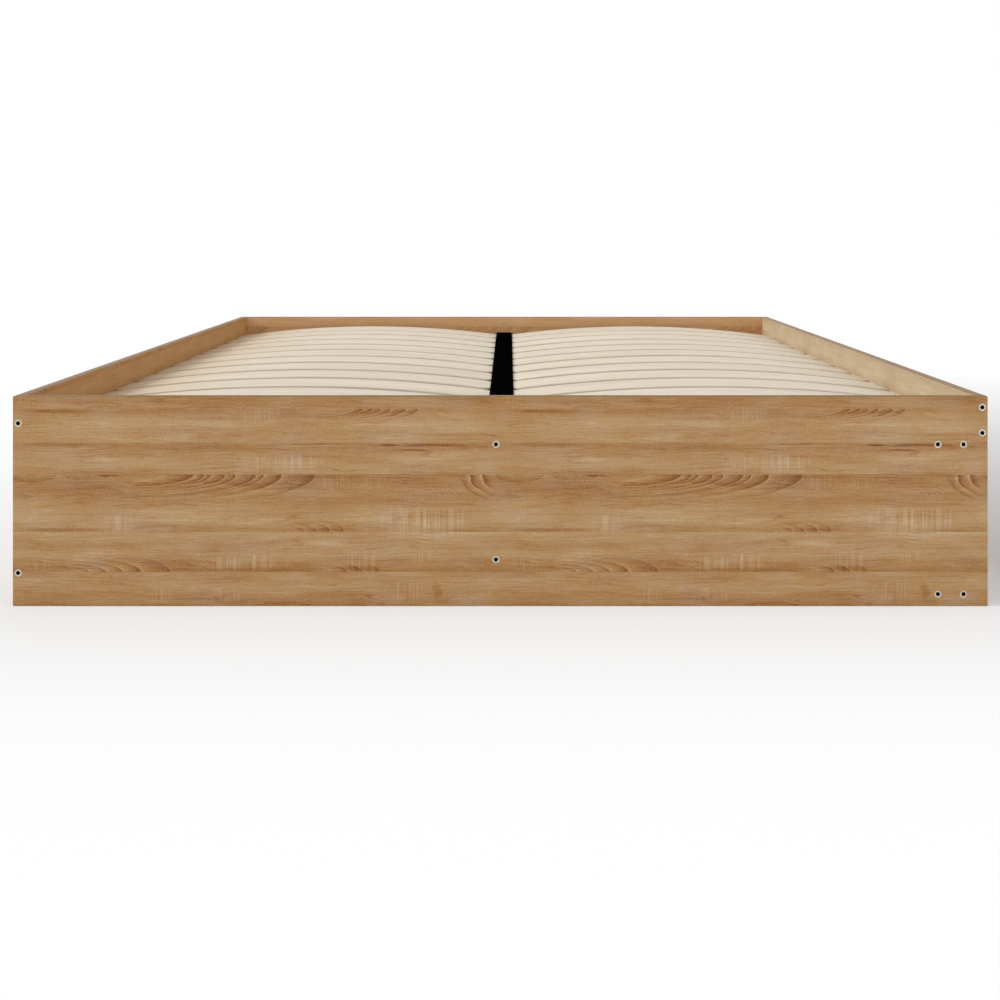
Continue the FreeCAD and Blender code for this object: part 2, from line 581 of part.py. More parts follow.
def make_runners(end):
    """The bed's channel and the drawer's hooked section, on both sides of one drawer."""
    channel = [
        ("0", "(-sizes.runner_sheet)"),
        ("sizes.runner_flange", "(-sizes.runner_sheet)"),
        ("sizes.runner_flange", "0"),
        ("sizes.runner_sheet", "0"),
        ("sizes.runner_sheet", TRACK_TOP_Z),
        ("sizes.runner_flange", TRACK_TOP_Z),
        ("sizes.runner_flange", f"({TRACK_TOP_Z} + sizes.runner_sheet)"),
        ("0", f"({TRACK_TOP_Z} + sizes.runner_sheet)"),
    ]
    shelf_edge = "(sizes.runner_space + sizes.shelf_width)"
    shelf_under = f"({SHELF_TOP_Z} - sizes.runner_sheet)"
    hooked = [
        (DRAWER_WEB_Y, shelf_under),
        (shelf_edge, shelf_under),
        (shelf_edge, SHELF_TOP_Z),
        ("sizes.runner_space", SHELF_TOP_Z),
        ("sizes.runner_space", HOOK_TOP_Z),
        (HOOK_EDGE_Y, HOOK_TOP_Z),
        (HOOK_EDGE_Y, HOOK_UNDER_Z),
        (DRAWER_WEB_Y, HOOK_UNDER_Z),
    ]
    bed_axle = ("sizes.runner_sheet / 2", "sizes.runner_flange")
    drawer_axle = (HOOK_EDGE_Y, f"({DRAWER_WEB_Y} + sizes.runner_sheet / 2)")
    make_runner_pair(f"{end}_bed_runners", channel, FRONT_AXLE_X, bed_axle, end)
    make_runner_pair(f"{end}_drawer_runners", hooked, REAR_AXLE_X, drawer_axle, end)


def make_roller_pair(label, axle_x, end):
    """The two rollers on one axle line of a drawer, each a ring on its own riveted axle."""
    pair = doc.addObject("Part::Compound", label)
    pair.Label = label
    rollers = []
    for index, hand in enumerate(("left", "right")):
        wall, inward = bay_side(end, index)
        middle = f"({wall} + {inward} * {ROLLER_MIDDLE_Y})"
        roller = doc.addObject("PartDesign::Body", f"{label}_{hand}")
        place_body(roller, axle_x, middle, f"{TRACK_Z} + {AXLE_Z}")
        sketch = new_sketch(roller, "ring", "XZ_Plane")
        draw_circles(sketch, [("0", "0")], "sizes.roller_radius")
        draw_circles(sketch, [("0", "0")], "sizes.axle_radius + sizes.axle_clearance")
        add_pad(roller, sketch, "sizes.roller_width")
        rollers.append(roller)
    pair.Links = rollers
    pieces.append(pair)


def front_span(end):
    """The low and high Y of a drawer front: a reveal at the panel, half of one at the middle."""
    if end == "foot":
        return f"(-{INNER_Y} + sizes.front_reveal)", "(-sizes.front_reveal / 2)"
    return "(sizes.front_reveal / 2)", f"({INNER_Y} - sizes.front_reveal)"


def bay_middle(end):
    """The Y of the middle of a drawer bay."""
    low, high = BAY_WALLS[end]
    return f"(({low} + {high}) / 2)"


def draw_grip(sketch, middle, top):
    """A finger notch in the top edge: two rounded corners below, open above."""
    radius = value("sizes.grip_radius")
    half = value("sizes.grip_width / 2")
    centre_y = value(middle)
    high = value(f"{top} + sizes.grip_radius")
    low = value(f"{top} - sizes.grip_depth")
    diagonal = radius * 0.5 ** 0.5
    left, right = centre_y - half, centre_y + half
    low_left = FreeCAD.Vector(left + radius, low + radius, 0)
    low_right = FreeCAD.Vector(right - radius, low + radius, 0)
    across = FreeCAD.Vector(radius, 0, 0)
    down = FreeCAD.Vector(0, -radius, 0)
    sketch.addGeometry(Part.LineSegment(FreeCAD.Vector(left, high, 0), low_left - across), False)
    left_bend = low_left + FreeCAD.Vector(-diagonal, -diagonal, 0)
    sketch.addGeometry(Part.Arc(low_left - across, left_bend, low_left + down), False)
    sketch.addGeometry(Part.LineSegment(low_left + down, low_right + down), False)
    right_bend = low_right + FreeCAD.Vector(diagonal, -diagonal, 0)
    sketch.addGeometry(Part.Arc(low_right + down, right_bend, low_right + across), False)
    sketch.addGeometry(Part.LineSegment(low_right + across, FreeCAD.Vector(right, high, 0)), False)
    sketch.addGeometry(
        Part.LineSegment(FreeCAD.Vector(right, high, 0), FreeCAD.Vector(left, high, 0)), False
    )
    sketch.addConstraint(Sketcher.Constraint("Tangent", 0, 2, 1, 1))
    sketch.addConstraint(Sketcher.Constraint("Tangent", 1, 2, 2, 1))
    sketch.addConstraint(Sketcher.Constraint("Tangent", 2, 2, 3, 1))
    sketch.addConstraint(Sketcher.Constraint("Tangent", 3, 2, 4, 1))
    sketch.addConstraint(Sketcher.Constraint("Coincident", 4, 2, 5, 1))
    sketch.addConstraint(Sketcher.Constraint("Coincident", 5, 2, 0, 1))
    for arc in (1, 3):
        row = sketch.addConstraint(Sketcher.Constraint("Radius", arc, radius))
        sketch.setExpression(f"Constraints[{row}]", "sizes.grip_radius")
    hold_point(sketch, 0, 1, f"{middle} - sizes.grip_width / 2", f"{top} + sizes.grip_radius")
    hold_point(sketch, 4, 2, f"{middle} + sizes.grip_width / 2", f"{top} + sizes.grip_radius")
    for geometry in (0, 4):
        sketch.addConstraint(Sketcher.Constraint("Vertical", geometry))
    row = sketch.addConstraint(Sketcher.Constraint("DistanceY", -1, 1, 1, 2, low))
    sketch.setExpression(f"Constraints[{row}]", f"{top} - sizes.grip_depth")


def make_drawer_front(end):
    """The front board, flush with the rail above, with its notch, groove and bolt holes."""
    low, high = front_span(end)
    top = "(sizes.panel_height - sizes.rail_height - sizes.front_reveal)"
    corners = rectangle(low, high, "sizes.front_floor_gap", top)
    front_x = f"({OUTER_X} - sizes.front_thickness / 2)"
    front = board(f"{end}_drawer_front", "YZ_Plane", corners, "sizes.front_thickness", x=front_x)
    notch = new_sketch(front, "grip_notch", "YZ_Plane")
    draw_grip(notch, bay_middle(end), top)
    cut_pocket(front, notch)
    side_low, side_high = side_places(end)
    groove = new_sketch(front, "base_groove", "YZ_Plane", "(-sizes.front_thickness / 2)")
    reach = "sizes.box_board / 2 - sizes.groove_depth"
    half = "sizes.base_thickness / 2 + sizes.groove_clearance"
    base_z = f"({BOX_BOTTOM_Z} + {BASE_Z})"
    groove_low_y = f"{side_low} + {reach}"
    groove_high_y = f"{side_high} - ({reach})"
    groove_corners = rectangle(groove_low_y, groove_high_y, f"{base_z} - ({half})", f"{base_z} + {half}")
    draw_outline(groove, groove_corners)
    cut_pocket(front, groove, "sizes.groove_depth", True)
    bolts = new_sketch(front, "bolt_holes", "YZ_Plane", "(-sizes.front_thickness / 2)")
    places = [(y, f"{BOX_BOTTOM_Z} + {z}") for y in (side_low, side_high) for z in FIXING_ZS]
    draw_circles(bolts, places, "sizes.bolt_radius + sizes.screw_clearance")
    cut_pocket(front, bolts, "sizes.bolt_grip + sizes.screw_clearance", True)


def side_places(end):
    """The Y of the middles of a drawer's two side boards."""
    low, high = BAY_WALLS[end]
    inset = "(sizes.runner_space + sizes.box_board / 2)"
    return f"({low} + {inset})", f"({high} - {inset})"


def make_drawer_side(end, hand, y, inward):
    """One side board: a groove for the bottom, cam pockets, bolt bores and screw holes."""
    half = "(sizes.box_board / 2)"
    inner = f"({inward} * {half})"
    floor = f"({inward} * ({half} - sizes.groove_depth))"
    outer = f"({-inward} * {half})"
    groove_low = "(sizes.base_lift - sizes.groove_clearance)"
    groove_high = "(sizes.base_lift + sizes.base_thickness + sizes.groove_clearance)"
    corners = [
        (outer, "0"),
        (inner, "0"),
        (inner, groove_low),
        (floor, groove_low),
        (floor, groove_high),
        (inner, groove_high),
        (inner, "sizes.box_height"),
        (outer, "sizes.box_height"),
    ]
    side = new_piece(f"{end}_drawer_{hand}_side", BOX_MIDDLE_X, y, BOX_BOTTOM_Z)
    section = new_sketch(side, "section", "YZ_Plane")
    draw_outline(section, corners)
    add_pad(side, section, BOX_DEPTH)
    cam_x = f"({BOX_DEPTH} / 2 - sizes.cam_inset)"
    cams = new_sketch(side, "cam_pockets", "XZ_Plane", f"{-inward} * {half}")
    draw_circles(cams, [(cam_x, z) for z in FIXING_ZS], "sizes.cam_radius + sizes.screw_clearance")
    cut_pocket(side, cams, "sizes.cam_depth + sizes.screw_clearance", inward > 0)
    bores = new_sketch(side, "bolt_bores", "YZ_Plane", f"{BOX_DEPTH} / 2")
    draw_circles(bores, [("0", z) for z in FIXING_ZS], "sizes.bolt_radius + sizes.screw_clearance")
    cut_pocket(side, bores, "sizes.cam_inset - sizes.cam_radius / 2")
    screw_x = f"(-{BOX_DEPTH} / 2 + sizes.box_board / 2)"
    screws = [(screw_x, z) for z in FIXING_ZS]
    shanks = new_sketch(side, "screw_shanks", "XZ_Plane")
    draw_circles(shanks, screws, "sizes.box_screw_radius + sizes.screw_clearance")
    cut_pocket(side, shanks)
    heads = new_sketch(side, "screw_heads", "XZ_Plane", f"{inward} * {half}")
    draw_circles(heads, screws, "sizes.box_screw_head_radius + sizes.screw_clearance")
    cut_pocket(side, heads, "sizes.box_screw_head_height", inward < 0)


def make_drawer_box(end):
    """Sides, back and bottom sheet of one drawer."""
    low_y, high_y = side_places(end)
    make_drawer_side(end, "left", low_y, 1)
    make_drawer_side(end, "right", high_y, -1)
    half_width = f"(({high_y} - {low_y} - sizes.box_board) / 2)"
    back_corners = rectangle(f"-{half_width}", half_width, BACK_LOW_Z, "sizes.box_height")
    middle = bay_middle(end)
    label = f"{end}_drawer_back"
    back = board(label, "YZ_Plane", back_corners, "sizes.box_board", BACK_X, middle, BOX_BOTTOM_Z)
    reach = "sizes.box_screw_length - sizes.box_board + sizes.screw_clearance"
    for name, side in (("low_bores", 1), ("high_bores", -1)):
        bores = new_sketch(back, name, "XZ_Plane", f"{side} * {half_width}")
        bore_radius = "sizes.box_screw_radius + sizes.screw_clearance"
        draw_circles(bores, [("0", z) for z in FIXING_ZS], bore_radius)
        cut_pocket(back, bores, reach, side < 0)
    half_base = f"({half_width} + sizes.groove_depth - sizes.groove_clearance)"
    front_edge = f"({BOX_FRONT_X} + sizes.groove_depth - sizes.groove_clearance)"
    base_corners = rectangle(BOX_BACK_X, front_edge, f"-{half_base}", half_base)
    base = new_piece(f"{end}_drawer_bottom", y=middle, z=f"{BOX_BOTTOM_Z} + {BASE_Z}")
    sketch = new_sketch(base, "outline", "XY_Plane")
    draw_outline(sketch, base_corners)
    add_pad(base, sketch, "sizes.base_thickness")


def screw_shape(shank_radius, length, head_radius, head_height, socket_width=0, socket_depth=0):
    """A screw along +Z with the top of its head at the origin."""
    head = Part.makeCylinder(head_radius, head_height, FreeCAD.Vector(0, 0, -head_height))
    shank = Part.makeCylinder(shank_radius, length, FreeCAD.Vector(0, 0, -length))
    screw = head.fuse(shank)
    if socket_width:
        corner = socket_width / 3 ** 0.5
        turn = FreeCAD.Rotation(FreeCAD.Vector(0, 0, 1), 60)
        point = FreeCAD.Vector(corner, 0, -socket_depth)
        points = [point]
        for _ in range(6):
            point = turn.multVec(point)
            points.append(point)
        hexagon = Part.Face(Part.makePolygon(points))
        screw = screw.cut(hexagon.extrude(FreeCAD.Vector(0, 0, socket_depth)))
    return screw.removeSplitter()


def placed_copies(shape, places):
    """Copies of a fastener: each place is a point and the way the head faces."""
    copies = []
    for point, facing in places:
        copy = shape.copy()
        turn = FreeCAD.Rotation(FreeCAD.Vector(0, 0, 1), FreeCAD.Vector(*facing))
        copy.Placement = FreeCAD.Placement(FreeCAD.Vector(*point), turn)
        copies.append(copy)
    return copies


def add_group(label, shapes):
    """A feature that holds a group of separate solids."""
    group = doc.addObject("Part::Feature", label)
    group.Label = label
    group.Shape = Part.makeCompound(shapes)
    pieces.append(group)


def connecting_screw():
    """The connecting screw with its hexagon socket."""
    return screw_shape(
        value("sizes.screw_shank_radius"),
        value("sizes.screw_length"),
        value("sizes.screw_head_radius"),
        value("sizes.screw_head_height"),
        value("sizes.socket_width"),
        value("sizes.socket_depth"),
    )


def make_panel_screws():
    """The connecting screws of both end panels, heads a little below the faces."""
    depth = value(f"{OUTER_Y} - sizes.screw_sink")
    places = []
    for side in (-1, 1):
        for x, z in PANEL_SCREWS:
            places.append(((value(x), side * depth, value(z)), (0, side, 0)))
    add_group("panel_screws", placed_copies(connecting_screw(), places))


def make_divider_screws():
    """Two screws through the partition and one through each flat board, into the divider."""
    partition_x = value(f"{PARTITION_X} - {HALF_BOARD} + sizes.screw_sink")
    board_x = value(DIVIDER_SCREW_X)
    top_z = value(f"{TOP_BOARD_Z} + {HALF_BOARD} - sizes.screw_sink")
    bottom_z = value(f"{BOTTOM_BOARD_Z} - {HALF_BOARD} + sizes.screw_sink")
    places = [((partition_x, 0, value(z)), (-1, 0, 0)) for z in DIVIDER_SCREW_RISES]
    places.append(((board_x, 0, top_z), (0, 0, 1)))
    places.append(((board_x, 0, bottom_z), (0, 0, -1)))
    add_group("divider_screws", placed_copies(connecting_screw(), places))


def make_batten_screws():
    """Wood screws: sideways through the left batten, downwards through the right one."""
    screw = screw_shape(
        value("sizes.batten_screw_radius"),
        value("sizes.batten_screw_length"),
        value("sizes.batten_screw_head_radius"),
        value("sizes.batten_screw_head_height"),
    )
    left_x = value(f"-{INNER_X} + sizes.batten_width - sizes.batten_screw_pocket")
    left_z = value(LEFT_BATTEN_Z)
    right_x = value(BATTEN_X)
    seat = value("sizes.slat_seat_height")
    places = [((left_x, value(y), left_z), (1, 0, 0)) for y in BATTEN_SCREW_YS]
    places += [((right_x, value(y), seat), (0, 0, 1)) for y in BATTEN_SCREW_YS]
    add_group("batten_screws", placed_copies(screw, places))


def make_slat_pegs():
    """A plastic peg under each slat end, down into the batten or through the beam's ledge."""
    rise = value("sizes.peg_rise - sizes.peg_clearance")
    depth = value("sizes.peg_depth")
    radius = value("sizes.peg_radius")
    ends = [
        (value(INNER_PEG_X), value(LEDGE_Z)),
        (value(OUTER_PEG_X), value("sizes.slat_seat_height")),
    ]
    pegs = []
    for side in (-1, 1):
        for x, seat in ends:
            for y in SLAT_YS:
                foot = FreeCAD.Vector(side * x, value(y), seat - depth)
                pegs.append(Part.makeCylinder(radius, depth + rise, foot))
    add_group("slat_pegs", pegs)


def make_drawer_fasteners(end):
    """Screws into the back, and cams with their bolts at the front, of one drawer."""
    screw = screw_shape(
        value("sizes.box_screw_radius"),
        value("sizes.box_screw_length"),
        value("sizes.box_screw_head_radius"),
        value("sizes.box_screw_head_height"),
    )
    half = value("sizes.box_board / 2")
    heights = [value(f"{BOX_BOTTOM_Z} + {z}") for z in FIXING_ZS]
    cam_x = value(f"{BOX_FRONT_X} - sizes.cam_inset")
    cam_radius, cam_depth = value("sizes.cam_radius"), value("sizes.cam_depth")
    bolt_x = value(f"{BOX_FRONT_X} + sizes.bolt_grip")
    bolt_radius = value("sizes.bolt_radius")
    bolt_reach = "sizes.cam_inset - sizes.cam_radius - sizes.screw_clearance"
    bolt_length = value(f"sizes.bolt_grip + {bolt_reach}")
    places = []
    fixings = []
    for side_y, inward in zip(side_places(end), (1, -1)):
        middle = value(side_y)
        for z in heights:
            places.append(((value(BACK_X), middle - inward * half, z), (0, -inward, 0)))
            face = FreeCAD.Vector(cam_x, middle + inward * half, z)
            into_side = FreeCAD.Vector(0, -inward, 0)
            fixings.append(Part.makeCylinder(cam_radius, cam_depth, face, into_side))
            bolt_start = FreeCAD.Vector(bolt_x, middle, z)
            backwards = FreeCAD.Vector(-1, 0, 0)
            fixings.append(Part.makeCylinder(bolt_radius, bolt_length, bolt_start, backwards))
    add_group(f"{end}_drawer_fasteners", placed_copies(screw, places) + fixings)


def make_drawer(end):
    """One whole drawer with its runners and rollers."""
    make_drawer_front(end)
    make_drawer_box(end)
    make_runners(end)
    make_roller_pair(f"{end}_front_rollers", FRONT_AXLE_X, end)
    make_roller_pair(f"{end}_rear_rollers", REAR_AXLE_X, end)
    make_drawer_fasteners(end)


make_end_panel("foot_panel", -1)
make_end_panel("head_panel", 1)
make_side_boards()
make_partition()
make_divider()
make_battens()
bore_for_batten_screws()
make_centre_beam()
make_slats()
make_panel_screws()
make_divider_screws()
make_batten_screws()
make_slat_pegs()
for bay in BAY_WALLS:
    make_drawer(bay)
doc.recompute()

for item in doc.Objects:
    if "Invalid" in item.State or "Error" in item.State:
        raise RuntimeError(f"{item.Label} failed: {item.State}")
for piece in pieces:
    if piece.Shape.isNull() or not piece.Shape.isValid():
        raise RuntimeError(f"{piece.Label} has no valid shape")

os.makedirs("parts", exist_ok=True)
for piece in pieces:
    piece.Shape.exportStep(f"parts/{piece.Label}.step")
print(f"{len(pieces)} pieces, drawer travel {value(DRAWER_TRAVEL):.1f} mm")
print(f"roller turn {1000 / value('sizes.roller_radius'):.4f} rad per metre")
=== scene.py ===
# %% [markdown]
# # A platform storage bed, dressed around its CAD frame
# The bed is a box of oak-print boards with two columns of bowed slats on top, a black
# steel beam between them and two drawers that roll out at the right side.
# Every board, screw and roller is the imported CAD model's own, and each slat is built anew
# in its CAD slat's place, so nothing is placed by eye. This lesson gives each of them its
# real finish, all of it calculated.

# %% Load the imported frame
import math

import bpy
import numpy as np
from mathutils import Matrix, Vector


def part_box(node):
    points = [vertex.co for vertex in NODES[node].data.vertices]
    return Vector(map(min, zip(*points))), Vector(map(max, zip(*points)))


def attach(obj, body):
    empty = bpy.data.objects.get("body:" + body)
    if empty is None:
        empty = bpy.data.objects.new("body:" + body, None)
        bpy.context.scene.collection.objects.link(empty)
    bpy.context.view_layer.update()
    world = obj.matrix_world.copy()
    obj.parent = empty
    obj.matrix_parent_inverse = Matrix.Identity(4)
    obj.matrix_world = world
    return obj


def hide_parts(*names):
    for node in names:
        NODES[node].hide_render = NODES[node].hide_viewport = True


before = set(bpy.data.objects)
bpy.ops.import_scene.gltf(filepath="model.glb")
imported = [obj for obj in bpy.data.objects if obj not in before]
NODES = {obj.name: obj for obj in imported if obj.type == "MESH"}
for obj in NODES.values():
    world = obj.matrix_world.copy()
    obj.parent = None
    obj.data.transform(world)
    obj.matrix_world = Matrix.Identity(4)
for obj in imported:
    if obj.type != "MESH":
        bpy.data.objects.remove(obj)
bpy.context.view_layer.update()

# %% [markdown]
# ## Camera
# The photograph looks at the foot panel square on, from a little above the mattress.
# Its upright lines stay upright, so the camera is level and the lens is shifted down
# instead of tilted. The distance comes from how fast the side boards run together.

# %% Place the camera
camera = bpy.data.objects.new("camera", bpy.data.cameras.new("camera"))
camera.location = (0.0144, -3.397, 0.6416)
camera.rotation_euler = (math.pi / 2, 0.0, 0.0)
camera.data.lens = 51.05
camera.data.sensor_width = 36.0
camera.data.shift_x = -0.0088
camera.data.shift_y = -0.2763
bpy.context.scene.collection.objects.link(camera)
bpy.context.scene.camera = camera
bpy.context.scene.view_settings.view_transform = "Standard"
print(f"camera {-camera.location.y:.2f} m from the bed's middle")

# %% [markdown]
# ## Arithmetic on shader values
# A material is a graph of small nodes. Written node by node, even a short formula takes
# a page, so this lesson wraps a socket in a class that ordinary arithmetic works on:
# every plus, minus or times below adds one Math node to the graph.


# %% A shader value that arithmetic works on
def feed(value, entry):
    """Connects a value to a node's input: a Signal by a link, a plain number as the input's own value."""
    if isinstance(value, Signal):
        entry.id_data.links.new(value.socket, entry)
    else:
        entry.default_value = value


class Signal:
    """One output socket, with the Math node's operations as methods."""

    def __init__(self, socket):
        self.socket = socket

    def math(self, operation, *others, clamp=False):
        """The Math node's operation on this value and the others."""
        node = self.socket.id_data.nodes.new("ShaderNodeMath")
        node.operation = operation
        node.use_clamp = clamp
        for value, entry in zip((self, *others), node.inputs):
            feed(value, entry)
        return Signal(node.outputs[0])

    def __add__(self, other):
        return self.math("ADD", other)

    def __sub__(self, other):
        return self.math("SUBTRACT", other)

    def __mul__(self, other):
        return self.math("MULTIPLY", other)

    def clamped(self):
        """This value, held between 0 and 1."""
        return self.math("ADD", 0.0, clamp=True)


# %% Helpers that add one node each
def noise(x, y, z, detail=2.0):
    """Cloudy noise at the point (x, y, z), about 0.5 on average; a step of 1 is one cloud."""
    tree = x.socket.id_data
    point = tree.nodes.new("ShaderNodeCombineXYZ")
    for value, entry in zip((x, y, z), point.inputs):
        feed(value, entry)
    node = tree.nodes.new("ShaderNodeTexNoise")
    node.inputs["Scale"].default_value = 1.0
    node.inputs["Detail"].default_value = detail
    tree.links.new(point.outputs[0], node.inputs["Vector"])
    return Signal(node.outputs["Fac"])


def srgb(red, green, blue):
    """A colour as a picture shows it, 0 to 255, as the linear colour that a shader takes."""
    shares = np.array([red, green, blue]) / 255.0
    linear = np.where(shares <= 0.04045, shares / 12.92, ((shares + 0.055) / 1.055) ** 2.4)
    return (*linear.tolist(), 1.0)


def ramp(value, stops, interpolation="LINEAR"):
    """A Color Ramp through (place, number or colour) stops. Returns its colour as a Signal."""
    node = value.socket.id_data.nodes.new("ShaderNodeValToRGB")
    node.color_ramp.interpolation = interpolation
    points = node.color_ramp.elements
    while len(points) < len(stops):
        points.new(0.5)
    for point, (place, level) in zip(points, sorted(stops, key=lambda stop: stop[0])):
        point.position = place
        point.color = level if isinstance(level, tuple) else (level, level, level, 1.0)
    feed(value, node.inputs["Fac"])
    return Signal(node.outputs["Color"])


def blend(share, first, second):
    """first where share is 0, second where it is 1. Each is a colour or a Signal."""
    node = share.socket.id_data.nodes.new("ShaderNodeMix")
    node.data_type = "RGBA"
    feed(share, node.inputs["Factor"])
    feed(first, node.inputs[6])
    feed(second, node.inputs[7])
    return Signal(node.outputs[2])


# %% Helpers that start a group or a material
def new_group(name, entries, exits):
    """A node group with number inputs and typed outputs. Returns it, its inputs as Signals and its exits."""
    group = bpy.data.node_groups.new(name, "ShaderNodeTree")
    for entry in entries:
        group.interface.new_socket(entry, in_out="INPUT", socket_type="NodeSocketFloat")
    for label, kind in exits:
        group.interface.new_socket(label, in_out="OUTPUT", socket_type=f"NodeSocket{kind}")
    start = group.nodes.new("NodeGroupInput")
    end = group.nodes.new("NodeGroupOutput")
    return group, [Signal(start.outputs[entry]) for entry in entries], end.inputs


def use_group(group, **values):
    """Places a group in the tree of its first Signal and returns its outputs as Signals, by name."""
    tree = next(v.socket.id_data for v in values.values() if isinstance(v, Signal))
    node = tree.nodes.new("ShaderNodeGroup")
    node.node_tree = group
    for label, value in values.items():
        feed(value, node.inputs[label])
    return {socket.name: Signal(socket) for socket in node.outputs}


def new_material(name, **constants):
    """A material with one Principled shader. Returns it, its shader's inputs and the object's x, y, z."""
    material = bpy.data.materials.new(name)
    material.use_nodes = True
    tree = material.node_tree
    shader = tree.nodes["Principled BSDF"]
    for label, value in constants.items():
        shader.inputs[label.replace("_", " ")].default_value = value
    place = tree.nodes.new("ShaderNodeTexCoord")
    split = tree.nodes.new("ShaderNodeSeparateXYZ")
    tree.links.new(place.outputs["Object"], split.inputs[0])
    return material, shader.inputs, [Signal(socket) for socket in split.outputs]


def emboss(height, entries, distance, strength=1.0):
    """Bumps the surface by a height from 0 to 1, worth so many metres."""
    node = height.socket.id_data.nodes.new("ShaderNodeBump")
    node.inputs["Distance"].default_value = distance
    node.inputs["Strength"].default_value = strength
    feed(height, node.inputs["Height"])
    feed(Signal(node.outputs["Normal"]), entries["Normal"])


def dress(material, *names):
    """Gives the named CAD nodes this material."""
    for name in names:
        for place in NODES[name].material_slots:
            place.material = material
    print(f"{material.name}: {len(names)} nodes")


# %% [markdown]
# ## The oak print
# The boards are chipboard under a printed oak foil. The print shows six planks glued edge
# to edge, each with its own tone, and it starts again every 818 mm, half the foot panel.
# A photograph of such a foil would be an image texture; here the print is calculated, so
# it stays sharp from close by. To make the noise repeat, the length along the board is
# wound round a circle: after one turn the noise is back where it started.

# %% Sizes and tones of the print
REPEAT = 0.818
PRINT_WIDTH = 0.352

# Each plank: its lower and upper edge in metres, and its tones at even steps between them.
PLANKS = [
    (0.0, 0.0577, (0.40, 0.57, 0.68, 0.66, 0.58)),
    (0.0577, 0.1247, (0.42, 0.53, 0.70, 0.63, 0.70, 0.77)),
    (0.1247, 0.2203, (0.58, 0.76, 0.70, 0.56, 0.49, 0.42)),
    (0.2203, 0.2740, (0.58, 0.71, 0.70, 0.54, 0.50)),
    (0.2740, 0.3310, (0.69, 0.66, 0.75, 0.61, 0.48)),
    (0.3310, PRINT_WIDTH, (0.54, 0.50, 0.49)),
]

# Foil colours from its darkest line to its palest fibre, as the photograph shows them.
FOIL_COLOURS = [
    (0.00, srgb(122, 76, 38)),
    (0.12, srgb(138, 93, 52)),
    (0.35, srgb(153, 111, 67)),
    (0.52, srgb(163, 124, 81)),
    (0.70, srgb(170, 136, 93)),
    (0.85, srgb(177, 147, 106)),
    (1.00, srgb(190, 164, 127)),
]


def plank_tones():
    """The ramp stops of all planks: each plank's tones spread evenly from its lower to its upper edge."""
    stops = []
    for low, high, tones in PLANKS:
        gap = 0.0001
        places = np.linspace(low + gap, high - gap, len(tones)) / PRINT_WIDTH
        stops += [(float(place), tone) for place, tone in zip(places, tones)]
    return stops


print(f"{len(PLANKS)} planks, {len(plank_tones())} tones")

# %% [markdown]
# ### Growth rings cut by a plank's edge
# Where a plank is sawn through the side of its rings, they show as nested arches that
# end at its edge. The group below measures how far a point lies from the arches' common
# centre, in a space where across is stretched, so that equal distances are flat ovals. A
# table of ring sizes then turns that distance into a ring number. Inside each ring the
# wood goes from mid brown to dark, and a pale line parts it from the next ring.

# %% The ring group
rings_group, (number, rings, depth, reach), rings_exit = new_group(
    "oak rings", ["Ring Number", "Rings", "Depth", "Reach"], [("Tone", "Float")]
)
RING_TONES = [
    (0.0, 0.92), (0.10, 0.66), (0.30, 0.50), (0.62, 0.36), (0.88, 0.06), (0.93, 0.10), (1.0, 0.92),
]
ring_tone = ramp(number.math("FRACT"), RING_TONES) - 0.5
fade = (depth.math("DIVIDE", reach) * -1.0 + 1.0).clamped()
between = number.math("GREATER_THAN", 0.001) * (rings - number).math("GREATER_THAN", 0.001)
feed(ring_tone * fade.math("SQRT") * between * depth.math("GREATER_THAN", 0.0), rings_exit["Tone"])
print(f"oak rings: {len(rings_group.nodes)} nodes")

# %% [markdown]
# ### Saw marks
# The print also copies the marks that a band saw leaves: short pale scratches straight
# across the grain, in a few patches. Each patch is a rounded box with soft, ragged edges.

# %% The saw mark group
# Each patch: middle along the repeat (0 to 1), height, half its length (0 to 1), half its height, strength.
SAW_PATCHES = [
    (0.555, 0.239, 0.125, 0.018, 0.9),
    (0.846, 0.144, 0.105, 0.024, 1.1),
    (0.482, 0.071, 0.092, 0.017, 1.1),
    (0.219, 0.139, 0.034, 0.017, 1.0),
    (0.810, 0.022, 0.047, 0.020, 0.8),
    (0.720, 0.074, 0.044, 0.019, 0.9),
    (0.508, 0.321, 0.046, 0.013, 0.8),
    (0.700, 0.208, 0.088, 0.013, 0.8),
    (0.841, 0.082, 0.022, 0.012, 0.8),
    (0.308, 0.017, 0.024, 0.016, 0.8),
    (0.444, 0.021, 0.036, 0.011, 0.7),
    (0.052, 0.070, 0.034, 0.011, 0.7),
    (0.031, 0.340, 0.026, 0.010, 0.6),
]


def patches(turn, across, table, roundness):
    """The strongest of the table's soft-edged patches at each point: ovals at roundness 2, boxier above."""
    strongest = None
    for middle, height, half_length, half_height, strength in table:
        sideways = ((turn - middle) * (1.0 / half_length)).math("ABSOLUTE").math("POWER", roundness)
        upwards = ((across - height) * (1.0 / half_height)).math("ABSOLUTE").math("POWER", roundness)
        patch = ((sideways + upwards) * -1.0 + 1.0).clamped() * strength
        strongest = patch if strongest is None else strongest.math("MAXIMUM", patch)
    return strongest


saw_group, (turn, across), saw_exit = new_group("saw marks", ["Turn", "Across"], [("Marks", "Float")])
strokes = (noise(turn * 250.0, across * 9.0, across * 0.0, detail=0.0) * 8.0 - 3.75).clamped()
ragged = across + (noise(turn * 150.0, across * 0.0, across * 0.0, detail=1.0) - 0.5) * 0.034
worn = noise(turn * 40.0, across * 20.0, across * 0.0, detail=1.0) * 0.9 + 0.2
feed(patches(turn, ragged, SAW_PATCHES, 3.0) * strokes * worn, saw_exit["Marks"])
print(f"saw marks: {len(SAW_PATCHES)} patches, {len(saw_group.nodes)} nodes")

